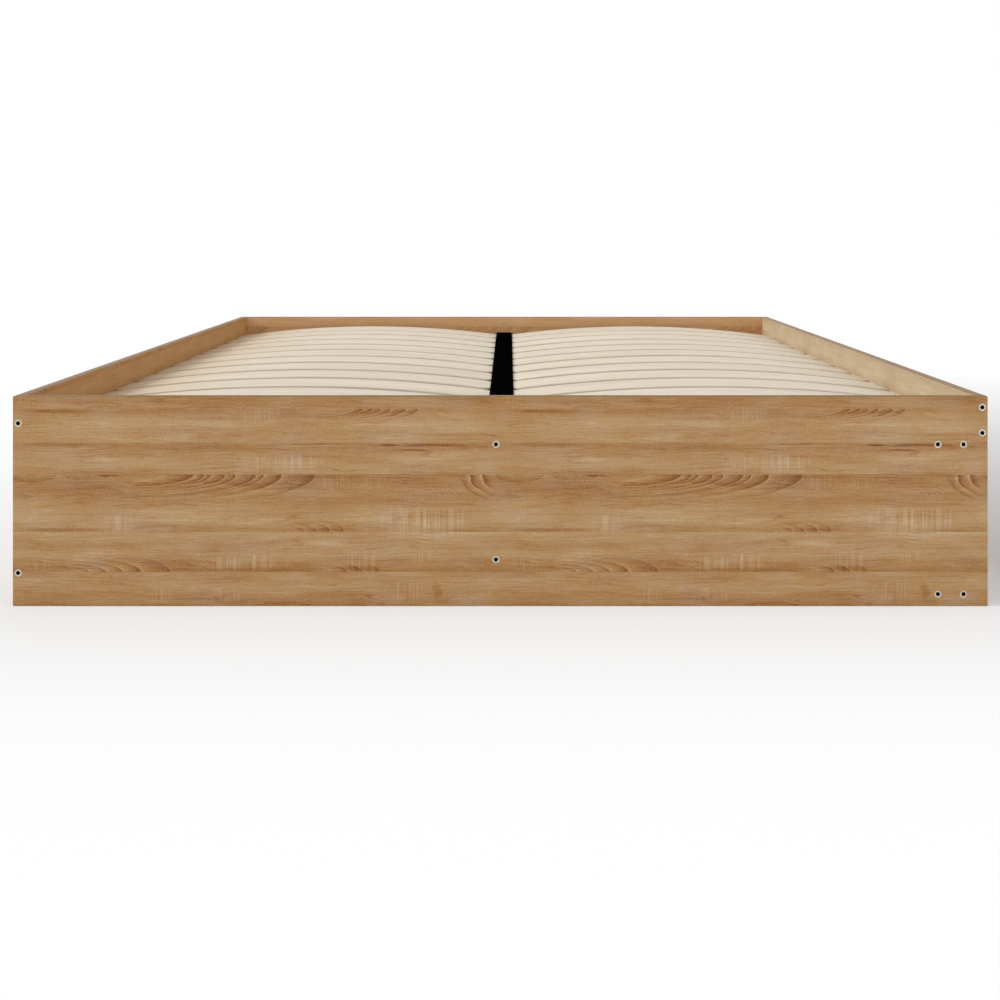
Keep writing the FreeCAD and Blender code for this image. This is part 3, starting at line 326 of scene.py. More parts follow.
# %% [markdown]
# ### The whole print
# The print adds up what the eye sees in the foil: the planks' own tones, broad cloudy
# bands, streaks, fine fibres and pores, the rings and dark spindles at the planks' edges,
# the saw marks and patches of pale lime.

# %% Ring figures at the plank edges
# Each figure: centre along the repeat (0 to 1) and its height, flatness of the ovals, the plank edge,
# the side of it (-1 below, 1 above), how deep it shows, its strength, how far it wavers, the stretch of
# the repeat that it covers, and the half lengths of its rings.
FIGURES = [
    (0.2304, 0.2203, 0.173, 0.2203, -1, 0.046, 1.0, 0.010, (0.24, 0.66),
     (0.060, 0.117, 0.134, 0.145, 0.168, 0.187, 0.220, 0.232, 0.265, 0.320)),
    (0.1226, 0.2203, 0.350, 0.2203, -1, 0.048, 1.1, 0.016, (0.915, 0.99),
     (0.110, 0.133, 0.153, 0.171)),
    (0.7945, 0.1833, 0.270, 0.2203, -1, 0.040, 0.8, 0.016, (0.79, 0.93),
     (0.055, 0.064, 0.074, 0.084, 0.094, 0.104)),
    (0.0390, 0.2203, 0.305, 0.2203, -1, 0.020, 0.7, 0.003, (0.98, 0.10), (0.012, 0.043)),
    (0.1500, 0.2203, 0.200, 0.2203, -1, 0.014, 0.5, 0.003, (0.10, 0.21), (0.010, 0.043)),
    (0.5690, 0.3310, 0.136, 0.3310, -1, 0.027, 0.8, 0.004, (0.64, 0.87),
     (0.105, 0.123, 0.139, 0.153, 0.170, 0.195, 0.215)),
    (0.0869, 0.0577, 0.180, 0.0577, 1, 0.024, 0.8, 0.008, (0.12, 0.40),
     (0.040, 0.058, 0.085, 0.113, 0.145, 0.196)),
    (0.5280, 0.1247, 0.250, 0.1247, 1, 0.018, 0.6, 0.008, (0.57, 0.72), (0.040, 0.059, 0.079, 0.101, 0.126)),
    (0.5900, 0.0577, 0.200, 0.0577, 1, 0.018, 0.6, 0.004, (0.62, 0.80), (0.050, 0.080, 0.105, 0.135)),
]

# Dark spindles where a streak of heartwood runs out at a plank's edge. Each row reads as in SAW_PATCHES.
SPINDLES = [
    (0.7700, 0.2707, 0.022, 0.0026, 1.0),
    (0.8600, 0.2700, 0.072, 0.0036, 1.0),
    (0.8250, 0.2620, 0.045, 0.0020, 0.8),
    (0.6220, 0.2720, 0.080, 0.0014, 0.8),
    (0.1200, 0.2690, 0.130, 0.0050, 0.4),
    (0.1000, 0.3270, 0.105, 0.0045, 0.5),
    (0.7450, 0.3260, 0.090, 0.0040, 0.4),
    (0.7100, 0.0640, 0.052, 0.0055, 0.6),
    (0.4800, 0.0610, 0.160, 0.0040, 0.4),
    (0.1100, 0.1280, 0.110, 0.0040, 0.6),
    (0.6400, 0.1280, 0.080, 0.0040, 0.5),
    (0.3000, 0.1870, 0.170, 0.0060, 0.3),
    (0.8700, 0.0270, 0.012, 0.0180, 0.5),
]
print(f"{len(FIGURES)} ring figures, {len(SPINDLES)} spindles")

# %% The oak group
oak_group, (along, across), oak_exit = new_group(
    "oak print", ["Along", "Across"], [("Color", "Color"), ("Height", "Float"), ("Roughness", "Float")]
)
turn = (along * (1.0 / REPEAT)).math("FRACT")
angle = along * (2.0 * math.pi / REPEAT)
east = angle.math("COSINE")
north = angle.math("SINE")
across = across.math("WRAP", PRINT_WIDTH, 0.0)
edge_stops = [(low / PRINT_WIDTH, number / len(PLANKS)) for number, (low, _, _) in enumerate(PLANKS)]
plank = ramp(across * (1.0 / PRINT_WIDTH), edge_stops, "CONSTANT") * 60.0


def wound_noise(clouds, rows, shift=0.0, height=across):
    """Noise that repeats: clouds is the circle's radius in clouds, rows the clouds per metre across."""
    return noise(east * clouds + shift, north * clouds, height * rows + plank)


bend = wound_noise(0.8, 12.0) - 0.5
ripple = wound_noise(3.6, 55.0, shift=11.0) - 0.5
bent = across + bend * 0.018 + ripple * 0.0008
clouds = wound_noise(0.9, 60.0, height=bent) - 0.5
streaks = wound_noise(1.1, 420.0, shift=7.0, height=bent) - 0.5
fibres = wound_noise(7.0, 900.0, shift=3.0, height=bent) - 0.5
pores = wound_noise(55.0, 750.0, shift=5.0, height=bent)
grain = streaks * 0.48 + fibres * 0.52 + (pores - 0.5) * 0.8
tone = ramp(across * (1.0 / PRINT_WIDTH), plank_tones()) + clouds * 0.68 + grain

# %% Year lines over every plank, stronger in some places
line_share = (bent * 130.0 + clouds * 5.0 + plank).math("FRACT")
LINE_TONES = [(0.0, 0.5), (0.55, 0.55), (0.86, 0.0), (0.93, 0.55), (1.0, 0.5)]
line_tone = ramp(line_share, LINE_TONES) - 0.5
line_strength = (wound_noise(1.2, 26.0, shift=23.0) * 4.0 - 1.6).clamped()
tone = tone + line_tone * line_strength * 0.5 - 0.03

# %% Rings and spindles at the plank edges
# Each figure fades out over this share of the repeat at both ends of its stretch.
FIGURE_FADE = 0.012
liveliness = wound_noise(1.3, 9.0, shift=2.0) + 0.5
for turn_middle, height, flatness, edge, side, reach, strength, waver, (start, stop), sizes in FIGURES:
    middle_span = (start + stop + (stop < start)) / 2.0
    half_span = (stop - start + (stop < start)) / 2.0
    sideways = (turn - turn_middle).math("WRAP", 0.5, -0.5) * REPEAT + ripple * waver
    upwards = (across - height) * (1.0 / flatness)
    distance = (sideways * sideways + upwards * upwards).math("SQRT")
    ring_stops = [(size / sizes[-1], index / (len(sizes) - 1.0)) for index, size in enumerate(sizes)]
    rings = len(sizes) - 1.0
    entries = {"Ring Number": ramp(distance * (1.0 / sizes[-1]), ring_stops) * rings, "Rings": rings}
    figure = use_group(rings_group, Depth=(across - edge) * side, Reach=reach, **entries)
    off_middle = (turn - middle_span).math("WRAP", 0.5, -0.5).math("ABSOLUTE")
    within = (off_middle * (-1.0 / FIGURE_FADE) + (half_span / FIGURE_FADE)).clamped()
    tone = tone + figure["Tone"] * within * liveliness * strength
spindles = patches(turn + clouds * 0.03, across + ripple * 0.003, SPINDLES, 2.0)
tone = tone - spindles * (streaks * 1.5 + 0.9).clamped() * 0.6

# %% Saw marks, lime and pores, and what the group puts out
marks = use_group(saw_group, Turn=turn, Across=across)["Marks"]
# A mark hides most of the grain that it crosses and is paler than the wood beside it.
SMOOTHED, PALER = 0.8, 0.30
tone = (tone + marks * (grain * -SMOOTHED + PALER)).clamped()
limed = (wound_noise(1.6, 22.0, shift=19.0) * 5.0 - 2.45).clamped() * 0.40 + marks * 0.22
LIME_COLOURS = [(0.0, srgb(124, 92, 66)), (0.52, srgb(166, 138, 111)), (1.0, srgb(190, 168, 143))]
foil = blend(limed.clamped(), ramp(tone, FOIL_COLOURS), ramp(tone, LIME_COLOURS))
dots = (pores * 6.0 - 3.7).clamped()
foil = blend(dots * 0.35, foil, srgb(128, 86, 48))
feed(foil, oak_exit["Color"])
feed(tone * 0.3 + fibres * 0.5 - dots * 0.4 + 0.3, oak_exit["Height"])
feed(tone * -0.10 + fibres * 0.15 + 0.60, oak_exit["Roughness"])
print(f"oak print: {len(oak_group.nodes)} nodes")

# %% [markdown]
# ### Laying the foil on the boards
# The grain runs along each board, and over its long edges without a break: the height
# across the print goes on round the corner. Each kind of board takes another part of the
# print. The inner faces of the panels take a share of painted light: the inner end faces are
# painted paler for the light that falls into the box, the left panel's inner face warmer for
# the warm light bounced inside it, and the rail's inner face paler and greyer, a painted sheen
# of the lamp at the left. The top edges carry an edging tape in a browner shade, with a dark
# glue line at the inner arris.


# %% Board materials
FOIL_GLOSS = 0.12
PAINTED_LIGHT_SHARE = 0.30
TAPE_SHARE = 0.85
GLUE_SHARE = 0.5
GLUE = srgb(110, 72, 36)


def lay_foil(name, along, across, painted_lights=(), tape_top=None, tape=None, tape_line=None):
    """Foil whose place along and across the print are the given functions of x, y, z.
    Each painted light is a mask and a colour: where the mask's function is 1, the foil takes a
    share of that colour, painted light or shade for that face. tape_top is the height above which
    the board shows its edging tape, tape its colour and tape_line the mask of the glue line in it."""
    material, entries, place = new_material(name, Specular_IOR_Level=FOIL_GLOSS)
    foil = use_group(oak_group, Along=along(*place), Across=across(*place))
    colour = foil["Color"]
    # Painted light: each masked face takes a share of a tint that stands for the light that falls on it.
    for mask, shade in painted_lights:
        colour = blend(mask(*place) * PAINTED_LIGHT_SHARE, colour, shade)
    if tape_top:
        taped = place[2].math("GREATER_THAN", tape_top)
        colour = blend(taped * TAPE_SHARE, colour, tape)
        colour = blend(taped * tape_line(*place) * GLUE_SHARE, colour, GLUE)
    feed(colour, entries["Base Color"])
    feed(foil["Roughness"], entries["Roughness"])
    emboss(foil["Height"], entries, 0.00012, 0.5)
    return material


END_FACE = 1.018
SIDE_FACE = 0.818
INNER_END = 1.0005
INNER_SIDE = 0.8005
GLUE_END = 1.0025
GLUE_SIDE = 0.8025
TAPE_FROM = 0.3515


def inside_end(x, y, z):
    """1 on the inner face of an end panel, else 0."""
    return y.math("ABSOLUTE").math("LESS_THAN", INNER_END)


def inside_left(x, y, z):
    """1 on the inner face of the left side panel, else 0."""
    return x.math("LESS_THAN", 0.0) * x.math("GREATER_THAN", -INNER_SIDE)


def inside_right(x, y, z):
    """1 on the inner face of the rail over the drawers, else 0."""
    return x.math("GREATER_THAN", 0.0) * x.math("LESS_THAN", INNER_SIDE)


end_oak = lay_foil(
    "end_oak",
    lambda x, y, z: x + y * 0.21 + SIDE_FACE + 0.21 * END_FACE,
    lambda x, y, z: z + END_FACE - y.math("ABSOLUTE") - inside_end(x, y, z) * 0.12,
    # Painted light: the inner faces of the end panels are tinted paler for the light that falls into the
    # box.
    painted_lights=[(inside_end, srgb(240, 183, 131))],
    tape_top=TAPE_FROM,
    tape=srgb(114, 80, 36),
    tape_line=lambda x, y, z: y.math("ABSOLUTE").math("LESS_THAN", GLUE_END),
)
side_oak = lay_foil(
    "side_oak",
    lambda x, y, z: y + x * 0.2,
    lambda x, y, z: z + (SIDE_FACE - 0.303) - x.math("ABSOLUTE") + x.math("GREATER_THAN", 0.0) * 0.11,
    # Painted light: the left panel's inner face is tinted warmer for the warm light bounced inside the box,
    # and the rail's inner face paler and greyer, a painted sheen of the lamp at the left.
    painted_lights=[(inside_left, srgb(221, 158, 84)), (inside_right, srgb(188, 191, 172))],
    tape_top=TAPE_FROM,
    tape=srgb(122, 98, 68),
    tape_line=lambda x, y, z: x.math("ABSOLUTE").math("LESS_THAN", GLUE_SIDE),
)
inner_oak = lay_foil("inner_oak", lambda x, y, z: y + 0.3, lambda x, y, z: x + z)
divider_oak = lay_foil("divider_oak", lambda x, y, z: x + 0.1, lambda x, y, z: y + z)
dress(end_oak, "foot_panel", "head_panel")
dress(side_oak, "left_side_panel", "right_side_rail", "foot_drawer_front", "head_drawer_front")
dress(inner_oak, "right_top_board", "right_bottom_board", "centre_partition")
dress(divider_oak, "drawer_divider")

# %% [markdown]
# ## Slats
# Each slat is a strip of birch plies glued in a bow, with its long edges sanded round. The
# CAD slats have a plain chamfer there, so each slat is built anew in its CAD slat's place,
# with round edges and with its plies to be seen at the sides. Its cross-section is a flat
# band with round corners, carried along the same arc with numpy; a Solidify modifier on a
# curved sheet would be shorter, but it leaves the edges square.

# %% The slat's cross-section
SLAT_THICKNESS = 0.008
EDGE_RADIUS = 0.0024


def band_outline(width):
    """The outline of the section: its left side from the bottom up, then its right side down.
    Each side is two quarter circles, and a point 3 mm inside them keeps the flats flat."""
    turn = np.linspace(0.0, np.pi / 2.0, 7)
    across = width / 2.0 - EDGE_RADIUS
    upright = SLAT_THICKNESS / 2.0 - EDGE_RADIUS
    side = np.concatenate([across + EDGE_RADIUS * np.sin(turn), across + EDGE_RADIUS * np.cos(turn)])
    height = np.concatenate([-upright - EDGE_RADIUS * np.cos(turn), upright + EDGE_RADIUS * np.sin(turn)])
    side = np.concatenate([[across - 0.003], side, [across - 0.003]])
    height = np.concatenate([[height[0]], height, [height[-1]]])
    return np.concatenate([-side, side[::-1]]), np.concatenate([height, height[::-1]])


print(f"section outline: {len(band_outline(0.126)[0])} points")

# %% The slat's surface
SLAT_CROWN = 0.026
INNER_LIFT = 0.003
SEAT = 0.291
STATIONS = 40
SLAT_ROWS = 12


def slat_points(low, high):
    """Points of a slat between the CAD slat's corners, as (stations, outline points, 3).
    Along the slat, u runs from end to end, and a point that lies w off the middle layer has the
    height sqrt((R + w)^2 - u^2) over the arc's centre. R makes the underside rise by the crown.
    The strip is then leaned about its middle, because its inner end is the higher one."""
    inward = 1.0 if low[0] < 0.0 else -1.0
    sides, offsets = band_outline(high[1] - low[1])
    half_span = (high[0] - low[0]) / 2.0
    arc = (half_span ** 2 + SLAT_CROWN ** 2) / (2.0 * SLAT_CROWN)
    u = np.linspace(-half_span, half_span, STATIONS)[:, None]
    rise = np.sqrt((arc + SLAT_THICKNESS / 2.0 + offsets) ** 2 - u ** 2) + SLAT_CROWN - arc
    lean = np.arcsin(INNER_LIFT / (2.0 * half_span)) * inward
    points = np.empty((STATIONS, len(sides), 3))
    points[..., 0] = (low[0] + high[0]) / 2.0 + u * np.cos(lean) - rise * np.sin(lean)
    points[..., 1] = (low[1] + high[1]) / 2.0 + sides
    points[..., 2] = SEAT + INNER_LIFT / 2.0 + rise * np.cos(lean) + u * np.sin(lean)
    return points, offsets / SLAT_THICKNESS + 0.5


print(f"slats: crown {SLAT_CROWN * 1000:.0f} mm, inner ends {INNER_LIFT * 1000:.0f} mm higher")


# %% [markdown]
# A closed strip needs faces round its outline and a cover on each end. The two sides of the
# outline have points at the same heights, so each cover is a ladder of flat quads from one
# side to the other. The share of the thickness is kept as an attribute for the plies.


# %% Faces of a carried outline
def strip_faces(stations, outline):
    """Quads round a closed outline at every station, and a ladder of quads over each end."""
    station, point = np.meshgrid(np.arange(stations - 1), np.arange(outline), indexing="ij")
    beside = (point + 1) % outline
    first, second = station * outline, (station + 1) * outline
    round_faces = np.stack([first + point, first + beside, second + beside, second + point], axis=-1)
    rung = np.arange(outline // 2 - 1)
    ladder = np.stack([rung, outline - 1 - rung, outline - 2 - rung, rung + 1], axis=-1)
    far_ladder = ladder[:, ::-1] + (stations - 1) * outline
    return np.concatenate([round_faces.reshape(-1, 4), ladder, far_ladder]), len(round_faces.reshape(-1, 4))


def build_slat(node):
    """The slat that stands for a CAD slat: its surface, its shading and its ply attribute."""
    points, shares = slat_points(*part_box(node))
    faces, smooth_count = strip_faces(*points.shape[:2])
    mesh = bpy.data.meshes.new(f"{node}_strip")
    mesh.from_pydata(points.reshape(-1, 3).tolist(), [], faces.tolist())
    smooth = np.arange(len(faces)) < smooth_count
    mesh.polygons.foreach_set("use_smooth", smooth)
    layer = mesh.attributes.new("thickness_share", "FLOAT", "POINT")
    layer.data.foreach_set("value", np.tile(shares, STATIONS))
    piece = bpy.data.objects.new(f"{node}_strip", mesh)
    bpy.context.scene.collection.objects.link(piece)
    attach(piece, "bed_frame")
    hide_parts(node)
    return piece


# %% [markdown]
# ### Peg holes
# Each slat end sits on a peg, which goes into a blind hole in its underside. The holes are
# cut with a Boolean modifier that is applied at once, so that no cutter stays behind.

# %% Build the slats and bore them
PEG_INSET = 0.015
PEG_HOLE = 0.0041
PEG_RISE = 0.006
DRILL_START = 0.004
HOLE_SIDES = 24


def bore(piece, places):
    """Cuts a blind round hole, up to PEG_RISE over the seat, at each (x, y, seat) place."""
    turn = np.linspace(0.0, 2.0 * np.pi, HOLE_SIDES, endpoint=False)
    circle = np.stack([np.cos(turn), np.sin(turn)], axis=-1) * PEG_HOLE
    for x, y, seat in places:
        levels = (seat - DRILL_START, seat + PEG_RISE)
        rings = [np.column_stack([circle + (x, y), np.full(HOLE_SIDES, level)]) for level in levels]
        low, high = np.arange(HOLE_SIDES), np.arange(HOLE_SIDES) + HOLE_SIDES
        walls = np.stack([low, np.roll(low, -1), np.roll(high, -1), high], axis=-1).tolist()
        covers = [low[::-1].tolist(), high.tolist()]
        drill_mesh = bpy.data.meshes.new("drill")
        drill_mesh.from_pydata(np.concatenate(rings).tolist(), [], walls + covers)
        drill = bpy.data.objects.new("drill", drill_mesh)
        bpy.context.scene.collection.objects.link(drill)
        cut = piece.modifiers.new("peg_hole", "BOOLEAN")
        cut.object = drill
        cut.operation = "DIFFERENCE"
        cut.solver = "EXACT"
        shape = bpy.data.meshes.new_from_object(piece.evaluated_get(bpy.context.evaluated_depsgraph_get()))
        piece.modifiers.clear()
        piece.data = shape
        bpy.data.objects.remove(drill)


slats = []
for side in ("left", "right"):
    for number in range(1, SLAT_ROWS + 1):
        node = f"{side}_slat_{number}"
        piece = build_slat(node)
        (low_x, low_y, _), (high_x, high_y, _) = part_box(node)
        ends = [(low_x + PEG_INSET, low_x < -0.5), (high_x - PEG_INSET, high_x > 0.5)]
        bore(piece, [(x, (low_y + high_y) / 2.0, SEAT if outer else SEAT + INNER_LIFT) for x, outer in ends])
        slats.append(piece)
print(f"{len(slats)} slats of {len(slats[0].data.polygons)} faces")

# %% [markdown]
# ### Birch veneer
# Birch is pale with a fine, long fibre and the odd warm streak; no two slats come from the
# same veneer. On the sanded edges and the sawn ends the five plies show as thin bands,
# darker where the glue lines and the end grain come to the surface. The left column's
# outer ends are painted a warmer tan: a painted shadow of the left panel, with the warm
# light that the panel throws back.

# %% Veneer and plies
birch, entries, (x, y, z) = new_material("birch_veneer", Specular_IOR_Level=0.12)
SLAT_PITCH = 0.1625
slat_number = (y * (1.0 / SLAT_PITCH)).math("FLOOR") * 3.7 + x.math("SIGN") * 1.9
fibre = noise(x * 9.0 + slat_number, y * 420.0, z * 60.0 + slat_number, detail=3.0)
flame = noise(x * 2.2 + slat_number, y * 26.0, z * 0.0 + slat_number)
veneer = fibre * 0.5 + flame * 0.5
VENEER = [(0.30, srgb(197, 182, 159)), (0.5, srgb(212, 199, 178)), (0.68, srgb(222, 211, 193))]
surface = ramp(veneer, VENEER)
stored = birch.node_tree.nodes.new("ShaderNodeAttribute")
stored.attribute_name = "thickness_share"
share = Signal(stored.outputs["Fac"])
PLIES = [
    (0.0, 0.0), (0.19, 0.0), (0.21, 0.3), (0.39, 0.3), (0.41, 0.1),
    (0.59, 0.1), (0.61, 0.2), (0.79, 0.2), (0.81, 0.0), (1.0, 0.0),
]
ply = ramp(share, PLIES) * (fibre * 0.6 + 0.4)
# Painted shadow: the left slats' outer ends are tinted tan for the left panel's shadow and the warm light
# that it throws back.
PANEL_SHADOW_TINT = [(0.0, 0.55), (0.06, 0.50), (0.12, 0.30), (0.2, 0.10), (0.28, 0.0)]
painted_panel_shadow = ramp(x + 0.8, PANEL_SHADOW_TINT)
surface = blend(painted_panel_shadow, surface, srgb(180, 140, 94))
feed(blend(ply.clamped(), surface, srgb(168, 138, 102)), entries["Base Color"])
feed(fibre * 0.25 + 0.45, entries["Roughness"])
emboss(fibre, entries, 0.00008, 0.6)
for piece in slats:
    piece.data.materials.clear()
    piece.data.materials.append(birch)
print(f"birch_veneer: {len(slats)} slats")

# %% Batten wood
softwood, entries, (x, y, z) = new_material("planed_softwood", Specular_IOR_Level=0.3)
year_rings = noise(y * 1.2, x * 90.0, z * 90.0)
fibre = noise(y * 14.0, x * 700.0, z * 700.0)
feed(ramp(year_rings * 0.8 + fibre * 0.2, [(0.35, srgb(186, 148, 102)), (0.6, srgb(212, 182, 138))]),
     entries["Base Color"])
feed(fibre * 0.2 + 0.5, entries["Roughness"])
emboss(fibre, entries, 0.0002, 0.6)
dress(softwood, "left_slat_batten", "right_slat_batten")

# %% [markdown]
# ## Metal
# The beam is folded steel under matt black powder paint, the screws are zinc plated,
# and the drawer runners are rolled steel under cream enamel.

# %% Black powder paint
black, entries, (x, y, z) = new_material("black_powder_paint", Specular_IOR_Level=0.0)
grains = noise(x * 900.0, y * 900.0, z * 900.0)
BLACKS = [(0.35, (0.0004, 0.0004, 0.0004, 1.0)), (0.7, (0.0016, 0.0016, 0.0016, 1.0))]
feed(ramp(grains, BLACKS), entries["Base Color"])
feed(grains * 0.2 + 0.6, entries["Roughness"])
emboss(grains, entries, 0.0001, 0.4)
dress(black, "centre_beam")

# %% Zinc plate
SCREW_FACE = 1.0172
zinc, entries, (x, y, z) = new_material("zinc_plate", Specular_IOR_Level=0.5)
haze = noise(x * 260.0, y * 260.0, z * 260.0, detail=3.0)
plate = ramp(haze, [(0.35, srgb(196, 182, 163)), (0.65, srgb(222, 211, 196))])
feed(plate, entries["Base Color"])
feed(haze * 0.2 + 0.3, entries["Roughness"])
feed(haze * 0.1 + 0.6, entries["Metallic"])
emboss(haze, entries, 0.00005, 0.4)
dress(zinc, "divider_screws", "batten_screws", "foot_drawer_fasteners", "head_drawer_fasteners")

# %% Screws in the end panels
socket_screw, entries, (x, y, z) = new_material("socket_screw", Specular_IOR_Level=0.0)
haze = noise(x * 260.0, y * 260.0, z * 260.0, detail=3.0)
plate = ramp(haze, [(0.35, srgb(190, 180, 163)), (0.65, srgb(214, 206, 193))])
# Painted shade: the inside of each screw's socket is painted black and not metallic, for the shade in the
# recess.
painted_socket_shade = y.math("ABSOLUTE").math("LESS_THAN", SCREW_FACE)
feed(blend(painted_socket_shade, plate, (0.0005, 0.0005, 0.0005, 1.0)), entries["Base Color"])
feed(haze * 0.2 + 0.35 + painted_socket_shade * 0.3, entries["Roughness"])
feed((haze * 0.1 + 0.5) * (painted_socket_shade * -1.0 + 1.0), entries["Metallic"])
dress(socket_screw, "panel_screws")

# %% Cream enamel
enamel, entries, (x, y, z) = new_material("cream_enamel", Specular_IOR_Level=0.5)
skin = noise(x * 300.0, y * 300.0, z * 300.0)
feed(ramp(skin, [(0.3, srgb(226, 221, 208)), (0.7, srgb(238, 234, 224))]), entries["Base Color"])
feed(skin * 0.2 + 0.25, entries["Roughness"])
emboss(skin, entries, 0.00005, 0.4)
dress(enamel, "foot_bed_runners", "head_bed_runners", "foot_drawer_runners", "head_drawer_runners")

# %% [markdown]
# ## Plastics and the drawer boxes
# The rollers are nylon, the slat pegs a black moulding. The drawer boxes are chipboard
# under white melamine with a faint leather grain, and their bottoms white-faced hardboard.

# %% Nylon and peg plastic
nylon, entries, (x, y, z) = new_material("roller_nylon", Specular_IOR_Level=0.4, Subsurface_Weight=0.1)
milk = noise(x * 400.0, y * 400.0, z * 400.0)
feed(ramp(milk, [(0.3, srgb(228, 227, 222)), (0.7, srgb(240, 240, 236))]), entries["Base Color"])
feed(milk * 0.2 + 0.35, entries["Roughness"])
dress(nylon, *[f"{end}_{place}_rollers" for end in ("foot", "head") for place in ("front", "rear")])

peg_plastic, entries, (x, y, z) = new_material("peg_plastic", Specular_IOR_Level=0.4)
speckle = noise(x * 1500.0, y * 1500.0, z * 1500.0, detail=1.0)
feed(ramp(speckle, [(0.3, srgb(30, 30, 31)), (0.7, srgb(46, 46, 47))]), entries["Base Color"])
feed(speckle * 0.2 + 0.45, entries["Roughness"])
emboss(speckle, entries, 0.00005, 0.5)
dress(peg_plastic, "slat_pegs")


# %% White boards
def white_board(name, dark, pale, pebbles, depth):
    """A white-faced board: a fine pebbled skin over a faintly clouded white."""
    material, entries, (x, y, z) = new_material(name, Specular_IOR_Level=0.4)
    cloud = noise(x * 12.0, y * 12.0, z * 12.0)
    pebble = noise(x * pebbles, y * pebbles, z * pebbles)
    feed(ramp(cloud * 0.6 + pebble * 0.4, [(0.3, dark), (0.7, pale)]), entries["Base Color"])
    feed(pebble * 0.2 + 0.4, entries["Roughness"])
    emboss(pebble, entries, depth, 0.5)
    return material


melamine = white_board("white_melamine", srgb(221, 219, 212), srgb(236, 234, 228), 700.0, 0.00008)
hardboard = white_board("white_hardboard", srgb(214, 210, 200), srgb(230, 227, 219), 240.0, 0.00012)
for end in ("foot", "head"):
    dress(melamine, f"{end}_drawer_left_side", f"{end}_drawer_right_side", f"{end}_drawer_back")
    dress(hardboard, f"{end}_drawer_bottom")

# %% [markdown]
# ## The studio
# The photograph has a white sweep under a broad lamp low at the left, which rakes over the
# slats and lights the right rail. Weaker lamps from the right and the front fill the left
# panel and the foot panel, and a faint one lifts the back. The floor's colour is painted a
# little darker near the bed, and darker still in the soft shadow at its right: a painted
# shadow that deepens the real one. Towards the camera the floor also glows a share of plain
# white, a painted light that grows with the distance from the bed, so that the floor goes white
# a short way off, stays dark under the bed and keeps the soft grey shadow at its right. The
# camera sees a plain white world.


# %% World and lamps
def add_sun(name, towards, strength, width_degrees):
    """A far lamp that shines along a direction. Its width in degrees sets how soft the shadows are."""
    lamp = bpy.data.lights.new(name, "SUN")
    lamp.energy = strength
    lamp.angle = math.radians(width_degrees)
    holder = bpy.data.objects.new(name, lamp)
    direction = np.array(towards, float)
    yaw = math.atan2(direction[0], -direction[1])
    pitch = math.atan2(math.hypot(direction[0], direction[1]), -direction[2])
    holder.rotation_euler = (pitch, 0.0, yaw + math.pi)
    bpy.context.scene.collection.objects.link(holder)


def seen_rays(tree):
    """1 on the rays by which a camera sees a surface: straight, through glass or in a mirror."""
    rays = tree.nodes.new("ShaderNodeLightPath").outputs
    straight = Signal(rays["Is Camera Ray"]).math("MAXIMUM", Signal(rays["Is Transmission Ray"]))
    return straight.math("MAXIMUM", Signal(rays["Is Glossy Ray"]))


WORLD_LEVEL = 0.41
world = bpy.data.worlds.new("studio")
bpy.context.scene.world = world
world.use_nodes = True
sky = world.node_tree
room = sky.nodes["Background"]
room.inputs["Strength"].default_value = WORLD_LEVEL
backdrop = sky.nodes.new("ShaderNodeBackground")
mix = sky.nodes.new("ShaderNodeMixShader")
feed(seen_rays(sky), mix.inputs["Fac"])
for background in (room, backdrop):
    background.inputs["Color"].default_value = (1.0, 1.0, 1.0, 1.0)
sky.links.new(room.outputs[0], mix.inputs[1])
sky.links.new(backdrop.outputs[0], mix.inputs[2])
sky.links.new(mix.outputs[0], sky.nodes["World Output"].inputs["Surface"])

add_sun("key", towards=(0.87, 0.12, -0.47), strength=2.6, width_degrees=26)
add_sun("side_fill", towards=(-0.84, 0.50, -0.36), strength=0.82, width_degrees=40)
add_sun("front_fill", towards=(0.10, 0.93, -0.34), strength=0.82, width_degrees=60)
add_sun("back_fill", towards=(0.15, -0.88, -0.45), strength=0.3, width_degrees=60)
print(f"world at {WORLD_LEVEL}, {len(bpy.data.lights)} lamps")

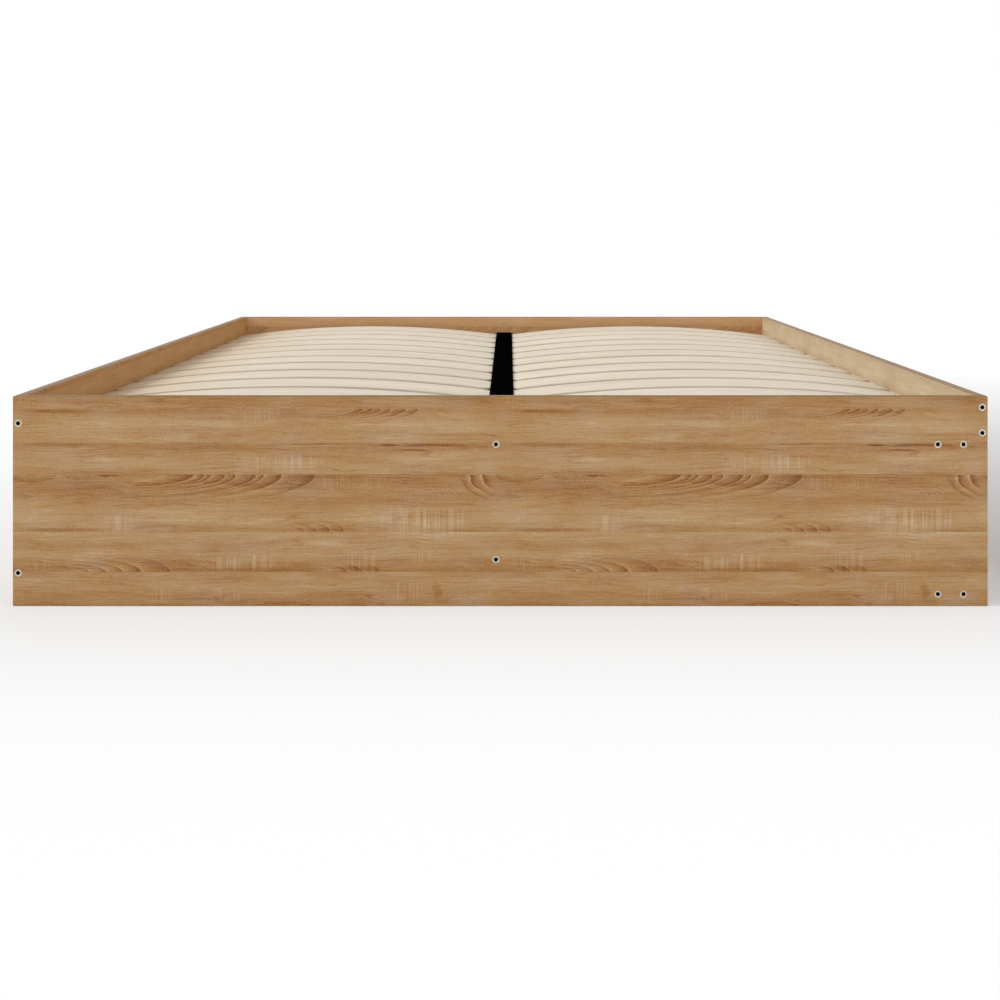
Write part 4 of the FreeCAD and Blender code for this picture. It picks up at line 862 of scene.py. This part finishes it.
# %% Floor
floor_mesh = bpy.data.meshes.new("floor")
FLOOR_REACH = 20.0
corners = np.array([(-1, -1, 0), (1, -1, 0), (1, 1, 0), (-1, 1, 0)]) * FLOOR_REACH
floor_mesh.from_pydata(corners.tolist(), [], [(0, 1, 2, 3)])
floor = bpy.data.objects.new("floor", floor_mesh)
bpy.context.scene.collection.objects.link(floor)
sweep, entries, (x, y, z) = new_material("white_sweep", Specular_IOR_Level=0.0, Roughness=1.0)
beyond_side = (x.math("ABSOLUTE") - SIDE_FACE).math("MAXIMUM", 0.0)
beyond_end = (y.math("ABSOLUTE") - END_FACE).math("MAXIMUM", 0.0)
away = (beyond_side * beyond_side + beyond_end * beyond_end).math("SQRT")
shadow_side = ((x - 0.75) * 5.0).clamped() * (y + 1.04).math("DIVIDE", beyond_side * 0.6 + 0.067).clamped()
# Painted shadow: the floor's colour is darker near the bed, and in the shadow at its right it stays the
# darker grey.
painted_floor_shade = ramp(away * 0.5, [(0.0, srgb(221, 221, 221)), (0.4, srgb(244, 244, 244))])
feed(blend(shadow_side, painted_floor_shade, srgb(221, 220, 218)), entries["Base Color"])
# Shares of plain white over half the distance in metres, on the lit floor and in the soft shadow.
LIT_SHARES = [(0.0, 0.40), (0.09, 0.55), (0.2, 0.70), (0.3, 0.84), (0.45, 0.97), (0.6, 1.0)]
SHADED_SHARES = [(0.06, 0.10), (0.16, 0.21), (0.20, 0.28), (0.40, 0.28), (0.60, 0.56), (1.0, 1.0)]
lit_floor = ramp(away * 0.5, LIT_SHARES)
shaded_floor = ramp(away * 0.5, SHADED_SHARES)
tree = sweep.node_tree
glow = tree.nodes.new("ShaderNodeEmission")
mix = tree.nodes.new("ShaderNodeMixShader")
white_share = lit_floor + (shaded_floor - lit_floor) * shadow_side
outside = away.math("GREATER_THAN", 0.0005)
feed(white_share * seen_rays(tree) * outside, mix.inputs["Fac"])
tree.links.new(tree.nodes["Principled BSDF"].outputs[0], mix.inputs[1])
tree.links.new(glow.outputs[0], mix.inputs[2])
tree.links.new(mix.outputs[0], tree.nodes["Material Output"].inputs["Surface"])
floor.data.materials.append(sweep)
print(f"white_sweep: {len(tree.nodes)} nodes")
